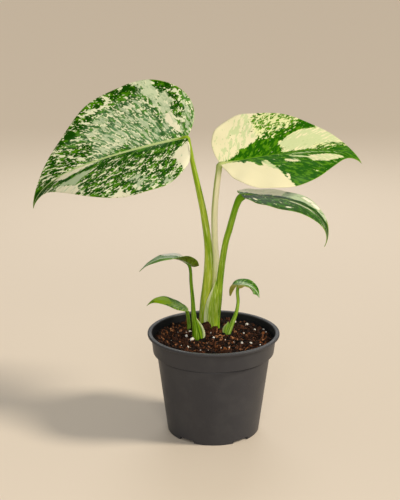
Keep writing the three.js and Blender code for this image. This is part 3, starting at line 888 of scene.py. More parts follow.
def makeSoilDressing(soil, lumps, materials):
    tree = scatterTree()
    pieces = []
    for name, scatter in scatters.items():
        pieces.append(runTree(name, soil, tree, {
            "Density": float(scatter["density"]), "Least": scatter["least"], "Most": scatter["most"],
            "Shape": scatter["shape"], "Detail": scatter["detail"], "Ruggedness": scatter["ruggedness"],
            "Sink": scatter["sink"], "Rim": rimClearance * scatter["most"], "Seed": scatter["seed"],
            "Material": materials[scatter["material"]],
        }))

    def setGrains(name, grains):
        stone = setStones[name]
        material = materials[stone["material"]]
        x, y, size, raised = np.array([(*grain, 0)[:4] for grain in grains], float).T
        z = soilHeight(lumps, x, y) + stone["lift"] * size + raised
        spots = makeObject(name + "Spots", np.stack([x, y, z], 1) * mm, [], material, {"grain": size * mm})
        piece = runTree(name, spots, tree, {
            "Least": 0.0, "Most": 0.0, "Shape": stone["shape"], "Detail": stone["detail"],
            "Ruggedness": stone["ruggedness"], "On Corners": True, "Seed": setSeed, "Material": material,
        })
        bpy.data.objects.remove(spots)
        pieces.append(piece)

    strewn = perliteScatter
    draw = randomSource(strewn["seed"])
    loose = []
    for _ in range(strewn["count"]):
        distance = strewn["reach"] * next(draw) ** 0.5
        angle = 2 * np.pi * next(draw)
        size = strewn["least"] + (strewn["most"] - strewn["least"]) * next(draw)
        x, y = distance * np.cos(angle), distance * np.sin(angle)
        if footClearance(np.array(x), np.array(y)) > strewn["clearance"]:
            loose.append((x, y, size))
    setGrains("perlite", perliteGrains + loose)
    setGrains("crownBark", crownChunks)
    return pieces


def grainMaterial(look, groups):
    material, tree, surface = newMaterial(look["name"], grainGloss, look["roughness"])
    grain = grainTone(tree, groups, look["grain"])
    ramp = addNode(tree, "ShaderNodeValToRGB", {"Fac": attribute(tree, "tone")})
    for i, (place, colour) in enumerate(look["colours"]):
        stop = ramp.color_ramp.elements[i] if i < 2 else ramp.color_ramp.elements.new(place)
        stop.position = place
        stop.color = linearColour(colour)
    shade = remap(tree, grain, *toneSpan, *grainShade, smooth=False)
    shaded = vectorMaths(tree, "SCALE", ramp.outputs["Color"], shade)
    tree.links.new(shaded, surface.inputs["Base Color"])
    addBump(tree, surface, grain, look["depth"])
    return material


# Leaves

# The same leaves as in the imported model. The outline of one half is given as fractions of the length and of
# the half width.
def halfOutline(lobe, shoulder=0.035, flank=0.84, ear=-0.75):
    return [
        (0, 0), (-0.45 * lobe, 0.09), (-lobe, 0.3), (ear * lobe, 0.56), (shoulder, 0.81),
        (0.115 + shoulder, 0.975), (0.32, 1), (0.52, flank), (0.71, 0.485), (0.87, 0.155), (1, 0),
    ]


# A half's fold up from the midrib, its arch from there to the margin, and what the root adds to the fold
def leafHalf(fold, arch, baseFold, outline):
    return {"fold": fold, "arch": arch, "baseFold": baseFold, "outline": outline}


blade = {
    "thickness": 0.62,
    "marginThickness": 0.3,
    "veinBend": 0.25,
    "waves": 6,
    "lobeShare": 0.11,
    "midribSteps": 60,
    "probe": 0.5,
    "leastCurl": 1e-4,
    "columnPower": 1.4,  # columns crowd together towards the midrib
}

# The blade's relief. Shares are of the half width, and for the rib and the groove of the ridge's height.
relief = {
    "buckleWaves": (7.1, 1.7, 2.0, 4.3),  # along and across, for each of two crossing waves
    "pillowLevel": 0.6,  # the pillows' middle height, taken off them
    "fromMidrib": 0.25,  # pillows and buckles begin within this share
    "toMargin": 0.8,  # and end beyond this one
    "ribWidth": 1.15,
    "ribAtTip": 0.25,
    "grooveDepth": 0.28,
    "grooveWidth": 0.8,  # of the rib's width
}

# What most leaves have in common
leafForm = {"baseFade": 0.3, "lobeCurl": 0, "lobeVeins": 0.3, "veinPower": 1.2}

leaves = {
    "large_left": {
        **leafForm, "piece": "leafLargeLeft", "slot": "marbled_leaf", "rows": 180, "columns": 54,
        "root": (-23.8, 4.5, 271.6), "length": 161, "halfWidth": 66,
        "azimuth": 173, "turn": 1, "pitch": -13, "bend": -10.5, "droop": -56, "droopPower": 6,
        "roll": -38, "twist": 4,
        "left": leafHalf(14.5, -5, 0, halfOutline(0.022)),
        "right": leafHalf(16.5, 0, 0, halfOutline(0.056, flank=0.875)),
        "lobeCurl": -1, "ridge": 1.6, "wave": 0.8,
        "sideVeins": 11, "veinFan": (0.2, 2.3, 0.25), "pucker": 0.22, "buckle": 0.5, "tipFlecks": 0.34,
    },
    "large_right": {
        **leafForm, "piece": "leafLargeRight", "slot": "cream_leaf", "rows": 170, "columns": 48,
        "root": (5.5, 16.5, 245.4), "length": 143.5, "halfWidth": 52.5,
        "azimuth": 21, "turn": -5, "pitch": 6, "bend": -4, "droop": -55, "droopPower": 6,
        "roll": 24.5, "twist": 15,
        "left": leafHalf(10.5, -4, 0, halfOutline(0.003, shoulder=0.085, ear=7)),
        "right": leafHalf(12, -6, 0, halfOutline(0.002, shoulder=0.05, ear=4)),
        "ridge": 1.4, "wave": 0.6, "lobeVeins": 0, "veinPower": 1.6,
        "sideVeins": 10, "veinFan": (0.25, 2.6, 0.3), "pucker": 0.18, "buckle": 0.45,
    },
    "drooping": {
        **leafForm, "piece": "leafDrooping", "slot": "green_leaf", "rows": 150, "columns": 36,
        "root": (24.5, 2, 221.1), "length": 101.5, "halfWidth": 31.5,
        "azimuth": -11.5, "turn": -6, "pitch": -1.5, "bend": -5, "droop": -112, "droopPower": 3,
        "roll": -3, "twist": 5,
        "left": leafHalf(5.5, -10, 0, halfOutline(0.057)),
        "right": leafHalf(4, -9, 0, [
            (0, 0), (0.002, 0.09), (0.018, 0.3), (0.055, 0.56), (0.13, 0.82), (0.235, 1.01),
            (0.37, 1.07), (0.54, 0.87), (0.71, 0.5), (0.87, 0.16), (1, 0),
        ]),
        "ridge": 1.2, "wave": 0.4,
        "sideVeins": 8, "veinFan": (0.2, 2.6, 0.3), "pucker": 0.15, "buckle": 0.25,
    },
    "small_left": {
        **leafForm, "piece": "leafSmallLeft", "slot": "green_leaf", "rows": 96, "columns": 24,
        "root": (-21.2, 0, 156.3), "length": 51.5, "halfWidth": 14.3,
        "azimuth": 198, "turn": -8, "pitch": 44, "bend": -97, "droop": 7, "droopPower": 3,
        "roll": 8.5, "twist": -5,
        "left": leafHalf(2, 0, 30, halfOutline(0.09)),
        "right": leafHalf(4, 0, 16, halfOutline(0.15)),
        "baseFade": 0.55, "lobeCurl": 1.5, "ridge": 0.5, "wave": 0.3,
        "sideVeins": 7, "veinFan": (0.3, 2.6, 0.3), "pucker": 0.08, "buckle": 0.15,
    },
    "seedling_left": {
        **leafForm, "piece": "leafSeedlingLeft", "slot": "young_leaf", "rows": 84, "columns": 20,
        "root": (-24.1, 18, 108.1), "length": 42.5, "halfWidth": 10,
        "azimuth": 192, "turn": 9, "pitch": 35, "bend": -14, "droop": -70, "droopPower": 3,
        "roll": -5, "twist": -13,
        "left": leafHalf(-7, 0, 16, halfOutline(0.03)),
        "right": leafHalf(-1, 0, 5, halfOutline(0.04)),
        "ridge": 0.4, "wave": 0.2,
        "sideVeins": 6, "veinFan": (0.3, 2.6, 0.3), "pucker": 0.06, "buckle": 0.1,
    },
    "small_right": {
        **leafForm, "piece": "leafSmallRight", "slot": "green_leaf", "rows": 96, "columns": 22,
        "root": (22.3, 12, 133.7), "length": 29.5, "halfWidth": 12.3,
        "azimuth": 44, "turn": -47, "pitch": 6, "bend": -76, "droop": -7, "droopPower": 3,
        "roll": -15, "twist": 64,
        "left": leafHalf(6, 0, -8, halfOutline(0.29)),
        "right": leafHalf(-2, 0, -6, halfOutline(0.12)),
        "baseFade": 0.4, "lobeCurl": -1, "ridge": 0.4, "wave": 0.2,
        "sideVeins": 6, "veinFan": (0.3, 2.6, 0.3), "pucker": 0.06, "buckle": 0.1,
    },
}

# Marks painted on each flat leaf, in millimetres: along the midrib from the root, and across it with the
# leaf's left side positive. A mark is a stroke of some reach along a line, or a patch inside an outline.
# Its edge is blurred over softness. Inside it the leaf takes the mark's values, later marks over earlier.
# cream, mint, sheen, fresh and olive are the shares of cream, mint green, silver green, light green
# and the underside's colour. The silver green is partly the leaf's own silvering and partly a painted sheen
# of reflected light.
def stroke(line, reach, softness, **values):
    return {"line": line, "reach": reach, "softness": softness, **values}


def patch(area, softness, **values):
    return {"area": area, "softness": softness, **values}


leafMarks = {
    "large_left": {
        "base": {"cream": 0.39, "mint": 0.1, "fresh": 0.5, "sheen": 0.0},
        "marks": [
            # the right half, which faces up in front
            # silver green across the middle of this half: partly its silvering, partly a painted sheen of
            # reflected light
            stroke(
                [(28, -14), (60, -26), (92, -14)],
                17, 10, cream=0.36, mint=0.44, fresh=0.55, sheen=0.95),
            stroke([(38, -42), (72, -38)], 9, 8, cream=0.4, mint=0.45, fresh=0.5, sheen=0.6),
            stroke([(96, -14), (116, -8), (132, -2)], 13, 8, cream=0.4, mint=0.06, fresh=0.4, sheen=0.0),
            stroke([(-6, -44), (-8, -25), (0, -6)], 7, 4, cream=0.36, mint=0.6, fresh=0.85, sheen=0.3),
            patch(
                [(7, -17), (11, -30), (8.5, -40), (14, -47), (20, -52), (26, -58), (25, -70), (40, -70),
                 (37, -56), (27, -43), (21, -31), (16, -18)],
                2, cream=0.6, mint=0.93, fresh=0.6, sheen=0.45),
            patch(
                [(5, -5), (9, -8), (13, -14), (17, -20), (16, -27), (11, -29), (9, -20), (4, -10)],
                1.8, cream=1.0, mint=0.35),
            stroke([(21, -8), (23, -26), (29, -42)], 2, 2, cream=0.3, mint=0.1, fresh=0.4, sheen=0.3),
            stroke([(12, -58), (20, -59)], 3, 3, cream=0.22, mint=0.05, fresh=0.4, sheen=0),
            stroke([(46, -62), (62, -62)], 5, 4, cream=0.3, mint=0.05, fresh=0.45, sheen=0),
            stroke([(66, -58), (84, -47)], 4, 4, cream=0.4, mint=0.2, fresh=0.5, sheen=0),
            stroke([(88, -43), (112, -33)], 6, 4, cream=0.38, mint=0.05, fresh=0.3, sheen=0),
            stroke([(101, -34), (105, -35)], 2.5, 2, cream=0.1, mint=0.0, fresh=0.3, sheen=0),
            stroke([(56, -12), (74, -9)], 3, 4, cream=0.7, mint=0.9, sheen=0.8),
            stroke([(81, -29), (85, -26)], 2, 2.5, cream=0.9, mint=0.5),
            # the left half, which faces down in front
            stroke([(2, 3), (30, 6), (80, 8)], 7, 6, cream=0.24, mint=0.05, fresh=0.42),
            stroke([(26, 22), (40, 34), (66, 30)], 9, 8, cream=0.4, mint=0.1, fresh=0.48),
            stroke([(14, 56), (40, 60)], 6, 6, cream=0.4, mint=0.35, fresh=0.6, sheen=0.15),
            stroke([(38, 50), (46, 44)], 5, 5, cream=0.4, mint=0.5, sheen=0.4),
            stroke([(62, 14), (84, 22), (90, 34)], 7, 5, cream=0.36, mint=0.05, fresh=0.4),
            patch(
                [(-8, 5), (-10, 45), (1, 49), (3, 39), (8, 33), (12, 27), (9, 20), (5, 14), (1.5, 8)],
                2, cream=1.0, mint=0.15, sheen=0),
            patch([(48, 70), (50, 62), (58, 57), (68, 60), (68, 70)], 2, cream=0.93, mint=0.2),
            patch(
                [(86, 10), (98, 22), (105, 28), (113, 22), (123, 16), (111, 13), (99, 11)],
                1.6, cream=0.2, mint=1.0, fresh=0.8, sheen=0.2),
            patch(
                [(98, 38), (103, 28), (110, 23), (122, 17), (126, 24), (108, 44)],
                1.6, cream=1.0, mint=0.3),
            stroke(
                [(84, 7), (98, 9), (112, 11.5), (126, 11)],
                2.2, 1.5, cream=0.15, mint=0.1, fresh=0.4, sheen=0),
            patch(
                [(80, 0.8), (95, 4.6), (106, 8), (118, 8.6), (129, 3), (120, 1.2), (100, 0.8)],
                1.2, cream=1.0, mint=0.25, sheen=0),
            stroke([(132, 5), (161, 0)], 6, 3, cream=0.3, mint=0.1, fresh=0.35, sheen=0),
            stroke([(148, 0), (161, 0)], 5, 4, cream=0.08, mint=0.0, fresh=0.25, sheen=0),
        ],
    },
    "large_right": {
        "base": {"cream": 0.15, "mint": 0.03, "fresh": 0.46, "sheen": 0.0},
        "marks": [
            # the right half, nearest in front: cream at the root end
            stroke([(84, -30), (108, -18)], 9, 7, cream=0.2, fresh=0.4),
            stroke([(54, -47), (64, -42)], 6, 5, cream=0.12, mint=0.05, fresh=0.6, sheen=0.2),
            stroke([(50, -40), (52, -33)], 1.4, 1, cream=1.0),
            stroke([(60, -12), (69, -14.5)], 2, 1.2, cream=0.9, mint=0.4),
            stroke([(66, -5.5), (80, -9.5)], 1.3, 1, cream=0.7, mint=1.0),
            stroke([(60, -3.2), (130, -3)], 0.8, 0.8, cream=0.05, mint=0.7, fresh=0.7),
            patch(
                [(-12, 3), (0, -0.8), (10, -2), (19, -3), (21, -7.5), (23.5, -3), (28, -7), (31.5, -15),
                 (35, -15.5), (37, -9), (41, -9.5), (43.5, -14), (46.5, -24), (48, -36), (52, -50),
                 (55, -60), (0, -66), (-12, -30)],
                1.6, cream=1.0, mint=0.0, sheen=0),
            patch(
                [(36, -7), (42, -9), (45, -15), (47, -26), (42, -22), (38, -14)],
                1.6, cream=0.7, mint=1.0),
            patch(
                [(80, -10), (84, -16), (98, -17.5), (111, -13), (120, -8.5), (110, -6.5), (97, -7),
                 (86, -8)],
                1.2, cream=0.98, mint=0.75, sheen=0),
            # the left half, furthest in front
            patch(
                [(-12, -3), (0, 0.8), (8, 2.5), (15, 5), (20, 8), (21, 12), (27, 12.5), (33, 15), (40, 18),
                 (47, 22), (60, 28), (75, 34), (92, 38), (92, 60), (40, 70), (-4, 60)],
                2, cream=1.0, mint=0.2, sheen=0),
            patch(
                [(20, 11), (30, 16), (44, 24), (44, 40), (34, 44), (20, 30), (12, 14)],
                4, cream=0.95, mint=0.68),
            stroke([(5, 6), (16, 18)], 3, 4, cream=0.95, mint=0.6),
            stroke([(18, 22), (30, 34), (42, 46)], 6, 6, cream=0.93, mint=0.66),
            patch(
                [(43, 25), (45, 46), (60, 54), (88, 38), (84, 31), (62, 24)],
                4, cream=0.56, mint=0.25, fresh=0.9),
            stroke([(46, 20), (64, 22), (84, 28)], 2.5, 3, cream=0.3, mint=0.0, fresh=0.4),
            patch(
                [(60, 1.8), (66, 8), (60, 11), (66, 15), (76, 20.5), (86, 24), (99, 24), (103, 34),
                 (114, 24), (123, 12), (118, 8), (108, 6), (95, 2), (75, 1.6)],
                1.4, cream=0.98, mint=0.82, sheen=0),
            stroke([(66, 9), (85, 10), (104, 10)], 4.5, 3, cream=0.9, mint=1.0),
            stroke([(88, 17), (112, 14)], 3, 3, cream=0.92, mint=0.85),
            stroke([(96, 3), (110, 6), (124, 6)], 3, 2.5, cream=0.4, mint=0.2, fresh=0.4),
            stroke([(122, 0), (143, 0)], 7, 3, cream=0.06, mint=0.1, fresh=0.5, sheen=0.0),
            stroke([(0, 0), (40, 0.8)], 0.9, 0.8, cream=0.0, mint=0.0, fresh=0.9, sheen=0.0),
        ],
    },
    "drooping": {
        "base": {"cream": 0.2, "mint": 0.02, "fresh": 0.3, "sheen": 0.0},
        "marks": [
            stroke([(14, -8), (50, -9)], 8, 6, cream=0.24, mint=0.02, fresh=0.6, sheen=0.0),
            stroke([(44, -3.6), (82, -3.4)], 0.9, 0.6, cream=0.9, mint=0.9, fresh=0.9),
            stroke([(10, -27), (50, -28)], 4, 4, cream=0.24, fresh=0.5, sheen=0.0),
            stroke([(56, -16), (80, -7)], 7, 4, cream=0.2, fresh=0.5, sheen=0.1),
            stroke([(13, -16), (16, -20)], 1.1, 1, cream=0.95),
            stroke([(44, -24), (48, -21)], 1.2, 1, cream=0.9),
            patch(
                [(-2, 8), (14, 4), (36, 7), (38, 40), (-8, 40), (-10, 14)],
                1.8, cream=1.0, mint=0.2, sheen=0),
            patch(
                [(34, 6), (50, 6.5), (72, 6.5), (82, 4), (84, 12), (60, 34), (36, 36)],
                2, cream=0.35, mint=0.95, sheen=0.6),
            stroke([(54, 19), (66, 14)], 4, 2.5, cream=0.95, mint=0.3),
            stroke([(73, 11), (79, 9)], 3, 2, cream=0.4, mint=0.8, fresh=0.9),
            stroke([(82, 4), (97, 0)], 3.5, 1.5, cream=0.02, mint=0.0, fresh=0.0, sheen=0),
            stroke([(82, 7.5), (96, 3)], 1.6, 1, cream=0.3, mint=0.3, olive=0.75),
            stroke([(82, -8.5), (97, -2)], 1.5, 1, cream=0.3, mint=0.3, olive=0.75),
            stroke([(70, -1), (86, 0), (97, 0)], 3, 1, cream=0.12, mint=0.0, fresh=0.15, sheen=0, olive=0),
            stroke([(30, 3.4), (55, 3.8), (84, 2)], 2.3, 0.9, cream=0.02, mint=0.02, fresh=0.1, sheen=0.0),
        ],
    },
    "small_left": {
        "base": {"cream": 0.12, "mint": 0.35, "fresh": 0.45, "sheen": 0.4},
        "marks": [
            stroke([(4, -13.5), (21, -13)], 5.8, 1.0, cream=1.0, mint=0.0, sheen=0),
            stroke([(-12, 14), (-6, 0), (-12, -14)], 7, 2, cream=0.3, fresh=0.8, olive=0.45),
            stroke([(10, -4), (30, -3)], 5, 3, mint=0.6, sheen=0.8),
            stroke([(4, 9), (20, 9), (38, 6)], 7, 1.5, cream=0.05, mint=0.0, fresh=0.7, sheen=0.0),
            stroke([(18, 11), (26, 10)], 3, 2.5, cream=0.3, mint=0.1, fresh=1.0, sheen=0.0),
            stroke([(36, 0), (51, 0)], 4, 3, mint=0.5, fresh=0.6, sheen=0.3),
        ],
    },
    "seedling_left": {
        "base": {"cream": 0.03, "mint": 0.15, "fresh": 0.75, "sheen": 0.1},
        "marks": [
            stroke([(2, 0), (16, 0)], 6, 4, mint=0.3, fresh=0.5, sheen=0.5),
            stroke([(8, 5), (28, 5)], 3, 2, mint=0.5, fresh=0.7, sheen=0.35),
            stroke([(4, -9), (24, -9)], 3, 2, mint=0.05, fresh=0.15, sheen=0.1),
            stroke([(14, -4), (30, -4)], 2, 2, mint=0.2, fresh=0.3, sheen=0.0),
            stroke([(25, 0), (36, 0)], 8, 4, mint=0.05, fresh=1.0, sheen=0),
            stroke([(38, 0), (43, 0)], 3, 2, fresh=0.3, sheen=0),
        ],
    },
    "small_right": {
        "base": {"cream": 0.12, "mint": 0.1, "fresh": 0.45, "sheen": 0.1},
        "marks": [
            stroke([(4, 3), (13, 4)], 5, 3, cream=0.2, mint=0.4, sheen=0.85),
            stroke([(12, 8), (24, 5)], 4, 2, cream=0.14, mint=0.12, fresh=0.42, sheen=0),
            stroke([(6, -6), (18, -6)], 4, 3, cream=0.1, mint=0.3, fresh=0.7, sheen=0.1),
            patch(
                [(-14, 0), (-14, 14), (3, 14), (2, 8), (1, 2), (3, -3), (7, -9), (4, -14), (-14, -14)],
                1, cream=0.05, sheen=0.0, olive=0.9),
        ],
    },
}

# Colours of each leaf, the seed and size in millimetres of its flecks, and the half width of its midrib
leafLooks = {
    "large_left": {
        "dark": "#174c00", "fresh": "#4c880a", "halo": "#85ad20", "mint": "#c2d3ab", "sheen": "#6d9868",
        "cream": "#f4f0cf", "speck": "#edf0cb", "midrib": "#c6d894", "underside": "#9fb87f",
        "haloStrength": 0.95, "seed": 2.0, "fleck": 1.9, "stretch": 2.2, "marginWidth": 1.1,
        "midribWidth": 1.7,
    },
    "large_right": {
        "dark": "#205c00", "fresh": "#50880e", "halo": "#7ea01c", "mint": "#bfd299", "sheen": "#5f8f50",
        "cream": "#e9e3bb", "speck": "#e2e6aa", "midrib": "#5b8a26", "underside": "#c9cf95",
        "haloStrength": 0.9, "seed": 11.0, "fleck": 1.8, "stretch": 2.4, "marginWidth": 0.9,
        "midribWidth": 0.7,
    },
    "drooping": {
        "dark": "#1a4600", "fresh": "#3f7a04", "halo": "#8cad34", "mint": "#bdd0ab", "sheen": "#6b8f62",
        "cream": "#fbf6e6", "speck": "#dfe8b8", "midrib": "#b3c48d", "underside": "#8aa53f",
        "haloStrength": 0.6, "seed": 23.0, "fleck": 1.7, "stretch": 2.6, "marginWidth": 1.3,
        "midribWidth": 0.7,
    },
    "small_left": {
        "dark": "#2a5a08", "fresh": "#6ba012", "halo": "#86a868", "mint": "#b4cbaa", "sheen": "#85a882",
        "cream": "#fffdf2", "speck": "#e6edc6", "midrib": "#eef3e2", "underside": "#5f6420",
        "haloStrength": 0.5, "seed": 31.0, "fleck": 0.9, "stretch": 4.0, "marginWidth": 0.6,
        "midribWidth": 0.95,
    },
    "seedling_left": {
        "dark": "#35690f", "fresh": "#94b90a", "halo": "#93b13c", "mint": "#a3bf80", "sheen": "#7f9c70",
        "cream": "#dfe2a8", "speck": "#d3dd8c", "midrib": "#9dbb4a", "underside": "#8fae3f",
        "haloStrength": 0.4, "seed": 43.0, "fleck": 0.8, "stretch": 5.0, "marginWidth": 0.6,
        "midribWidth": 0.4,
    },
    "small_right": {
        "dark": "#2c5c04", "fresh": "#65952a", "halo": "#86a868", "mint": "#a9c49a", "sheen": "#8fa98a",
        "cream": "#e6e6cf", "speck": "#dbe4b8", "midrib": "#dbe5cf", "underside": "#a39a45",
        "haloStrength": 0.5, "seed": 57.0, "fleck": 0.9, "stretch": 3.0, "marginWidth": 0.6,
        "midribWidth": 0.7,
    },
}


# A smooth curve through points, at places from 0 to 1
def splinePoints(points, places):
    points = np.array(points, float)
    last = len(points) - 1
    start = np.minimum(np.floor(places * last).astype(int), last - 1)
    share = (places * last - start)[:, None]
    before = points[np.where(start == 0, start, start - 1)]
    here, there = points[start], points[start + 1]
    after = points[np.minimum(start + 2, last)]
    leave, arrive = (there - before) / 2, (after - here) / 2
    return (
        (2 * here - 2 * there + leave + arrive) * share ** 3
        + (3 * there - 3 * here - 2 * leave - arrive) * share ** 2 + leave * share + here
    )


# The midrib's places with the heading, the leftward direction and the upward normal there
def midribOf(leaf):
    along = np.linspace(0, 1, blade["midribSteps"] + 1)
    heading = np.radians(leaf["azimuth"] + leaf["turn"] * along)
    climb = np.radians(leaf["pitch"] + leaf["bend"] * along + leaf["droop"] * along ** leaf["droopPower"])
    roll = np.radians(leaf["roll"] + leaf["twist"] * along)[:, None]
    forward = np.stack([np.cos(heading) * np.cos(climb), np.sin(heading) * np.cos(climb), np.sin(climb)], 1)
    level = np.stack([-np.sin(heading), np.cos(heading), 0 * heading], 1)
    upright = np.cross(forward, level)
    steps = (forward[1:] + forward[:-1]) / 2 * leaf["length"] / blade["midribSteps"]
    place = np.vstack([np.zeros(3), np.cumsum(steps, 0)]) + np.array(leaf["root"])
    return {
        "along": along, "place": place, "forward": forward,
        "left": level * np.cos(roll) + upright * np.sin(roll),
        "up": upright * np.cos(roll) - level * np.sin(roll),
    }


def midribAt(midrib, along, key):
    return np.stack([np.interp(along, midrib["along"], midrib[key][:, axis]) for axis in range(3)], -1)


# Places on the blade's middle surface, u along the midrib and v across it on the flat leaf
def bladePlace(leaf, midrib, u, v):
    along = np.clip(u / leaf["length"], 0, 1)
    behind = np.minimum(u, 0)
    onLeft = v > 0

    def halfValue(key):
        return np.where(onLeft, leaf["left"][key], leaf["right"][key])

    fade = 1 - smoothStep(u / leaf["length"], 0, leaf["baseFade"])
    start = np.radians(halfValue("fold") + halfValue("baseFold") * fade)
    arch = halfValue("arch")
    curl = np.radians(np.where(arch == 0, blade["leastCurl"], arch)) / leaf["halfWidth"]
    end = start + curl * np.abs(v)
    across = np.sign(v) * (np.sin(end) - np.sin(start)) / curl
    lift = (np.cos(start) - np.cos(end)) / curl
    lift = lift + leaf["lobeCurl"] * (behind / (blade["lobeShare"] * leaf["length"])) ** 2
    return (
        midribAt(midrib, along, "place") + midribAt(midrib, along, "forward") * behind[..., None]
        + midribAt(midrib, along, "left") * across[..., None]
        + midribAt(midrib, along, "up") * lift[..., None]
    )


# The blade as a grid: rows follow the side veins, columns run from the right margin to the left one
def bladeGrid(leaf):
    rows = np.linspace(0, 1, leaf["rows"] + 1)
    steps = np.linspace(-1, 1, 2 * leaf["columns"] + 1)
    across = np.sign(steps) * np.abs(steps) ** blade["columnPower"]
    share = np.abs(across)[None, :]
    pastLobe = np.maximum(0, rows - leaf["lobeVeins"]) / (1 - leaf["lobeVeins"])
    startU = (pastLobe ** leaf["veinPower"] * leaf["length"])[:, None]
    leftEdge = splinePoints(leaf["left"]["outline"], rows)[:, None, :]
    rightEdge = splinePoints(leaf["right"]["outline"], rows)[:, None, :]
    edge = np.where((across > 0)[None, :, None], leftEdge, rightEdge)
    bent = (1 - blade["veinBend"]) * share + blade["veinBend"] * share ** 2
    u = startU + (edge[..., 0] * leaf["length"] - startU) * bent
    v = edge[..., 1] * leaf["halfWidth"] * across[None, :]
    return u, v, rows[:, None] + 0 * u, share + 0 * u


def bladeMesh(leaf, painting=None):
    u, v, row, share = bladeGrid(leaf)
    midrib = midribOf(leaf)
    probe = blade["probe"]
    place = bladePlace(leaf, midrib, u, v)
    alongStep = bladePlace(leaf, midrib, u + probe, v) - bladePlace(leaf, midrib, u - probe, v)
    acrossStep = bladePlace(leaf, midrib, u, v + probe) - bladePlace(leaf, midrib, u, v - probe)
    normal = np.cross(alongStep, acrossStep)
    normal /= np.linalg.norm(normal, axis=-1, keepdims=True)

    # The relief is the waved margin, soft buckles, pillows between the side veins, and the midrib's groove.
    # A side vein leans forward the more, the further along the midrib it starts.
    length, width = leaf["length"], leaf["halfWidth"]
    toTip = 1 - np.clip(u / length, 0, 1)
    wave = leaf["wave"] * share ** 2 * np.sin(np.pi * row) * np.sin(2 * np.pi * blade["waves"] * row)
    firstU, firstV, secondU, secondV = relief["buckleWaves"]
    buckle = leaf["buckle"] * np.sin(firstU * u / length + firstV * v / width)
    buckle = buckle * np.sin(secondV * v / width + secondU * u / length)
    lean, turning, sweep = leaf["veinFan"]
    veinStart = (u - lean * np.abs(v) - sweep * v ** 2 / length) / (1 + turning * np.abs(v) / length)
    veinIndex = veinStart / length * leaf["sideVeins"]
    pillow = leaf["pucker"] * (np.abs(np.sin(np.pi * veinIndex)) - relief["pillowLevel"])
    middle = smoothStep(share, 0.0, relief["fromMidrib"]) * (1 - smoothStep(share, relief["toMargin"], 1.0))
    middle = middle * np.sin(np.pi * row) ** 0.5
    ribWidth = relief["ribWidth"] * leaf["ridge"] * (relief["ribAtTip"] + (1 - relief["ribAtTip"]) * toTip)
    dip = np.exp(-(v / (relief["grooveWidth"] * ribWidth)) ** 2)
    groove = -relief["grooveDepth"] * leaf["ridge"] * toTip * dip
    rise = wave + (buckle * share + pillow) * middle
    half = (blade["thickness"] + (blade["marginThickness"] - blade["thickness"]) * share ** 2) / 2
    ridge = leaf["ridge"] * toTip * np.sqrt(np.maximum(0, 1 - (v / ribWidth) ** 2))
    top = place + normal * (rise + half + groove)[..., None]
    under = place + normal * (rise - half - ridge)[..., None]

    lastColumn = u.shape[1] - 1
    index = np.arange(u.size).reshape(u.shape)
    a, b, c, d = index[:-1, :-1], index[1:, :-1], index[1:, 1:], index[:-1, 1:]
    quads = np.stack([a, b, c, d], -1).reshape(-1, 4)
    below = u.size
    faces = quads.tolist() + (quads[:, ::-1] + below).tolist()
    for column, turn in ((0, 1), (lastColumn, -1)):
        edge = index[:, column]
        for one, other in zip(edge[:-1], edge[1:]):
            faces.append([one, one + below, other + below, other][::turn])
    corners = np.concatenate([top.reshape(-1, 3), under.reshape(-1, 3)])

    # vein is how far along the midrib a place's side vein starts, and how far along that vein it lies
    values = paintMarks(painting, u.ravel(), v.ravel()) if painting else {}
    crowding = 1 - leaf.get("tipFlecks", 0) * veinStart / length
    fromMidrib = np.hypot(u - veinStart, v) * np.sign(v)
    values["vein"] = np.stack([veinStart * crowding, fromMidrib, 0 * u], -1).reshape(-1, 3)
    values["flat"] = np.stack([u, v, 0 * u], -1).reshape(-1, 3)
    values["veinIndex"] = veinIndex.ravel()
    values["margin"] = share.ravel()
    values["toTip"] = toTip.ravel()
    values = {key: np.concatenate([array, array]) for key, array in values.items()}
    values["underside"] = np.repeat([0.0, 1.0], u.size)
    return corners, faces, values


# How far inside a mark each place lies, in millimetres, less than 0 outside it
def markDepth(mark, u, v):
    points = np.array(mark.get("line") or mark["area"], float)
    ends = points[1:] if "line" in mark else np.roll(points, -1, 0)
    starts = points[:len(ends)]
    nearest = np.full(u.shape, np.inf)
    inside = np.zeros(u.shape, bool)
    for (startU, startV), (endU, endV) in zip(starts, ends):
        runU, runV = endU - startU, endV - startV
        share = ((u - startU) * runU + (v - startV) * runV) / (runU ** 2 + runV ** 2)
        share = np.clip(share, 0, 1)
        nearest = np.minimum(nearest, np.hypot(u - startU - share * runU, v - startV - share * runV))
        if "area" in mark and startV != endV:
            crosses = (startV > v) != (endV > v)
            inside ^= crosses & (u < startU + (v - startV) * runU / runV)
    if "area" in mark:
        return np.where(inside, nearest, -nearest)
    return mark["reach"] - nearest


def paintMarks(painting, u, v):
    base = {"olive": 0, **painting["base"]}
    values = {key: np.full(u.shape, float(value)) for key, value in base.items()}
    for mark in painting["marks"]:
        strength = smoothStep(markDepth(mark, u, v), -mark["softness"], mark["softness"])
        for key in values:
            if key in mark:
                values[key] += (mark[key] - values[key]) * strength
    return values


# What the skins of all leaves share. Four values are a span and the span that it turns into. A fleck's size
# and stretch are shares of the leaf's own, shift is added to the leaf's seed, and power goes on its amount.
leafSkin = {
    "gloss": 0.04,
    "grain": 0.0009,
    "grainDepth": 0.00012,
    "cloud": 0.009,
    "roughness": (0.3, 0.42),
    "underRoughness": 0.2,  # more on the underside
    "underShare": 0.62,
    # how the cloud breaks up the silver green, which is partly silvering and partly painted sheen
    "silverAndSheenCloud": (0.35, 0.62, 0.45, 1.0),
    "creamInSheen": 0.35,
    "mintOnGreen": 0.85,
    "mintOnCream": 0.75,
    "solidCream": (0.6, 0.9),
    "veinLine": (0.0, 0.16, 1.0, 0.0),
    "veinFades": (0.1, 0.9, 0.22, 0.0),
    "veinOnCream": 0.25,
    "ribAtTip": 0.18,
    "ribLine": (0.55, 1.15, 0.9, 0.0),
    "marginStart": 0.25,
    "marginStrength": 0.65,
    "marginCloud": (0.35, 0.6, 0.25, 1.0),
}

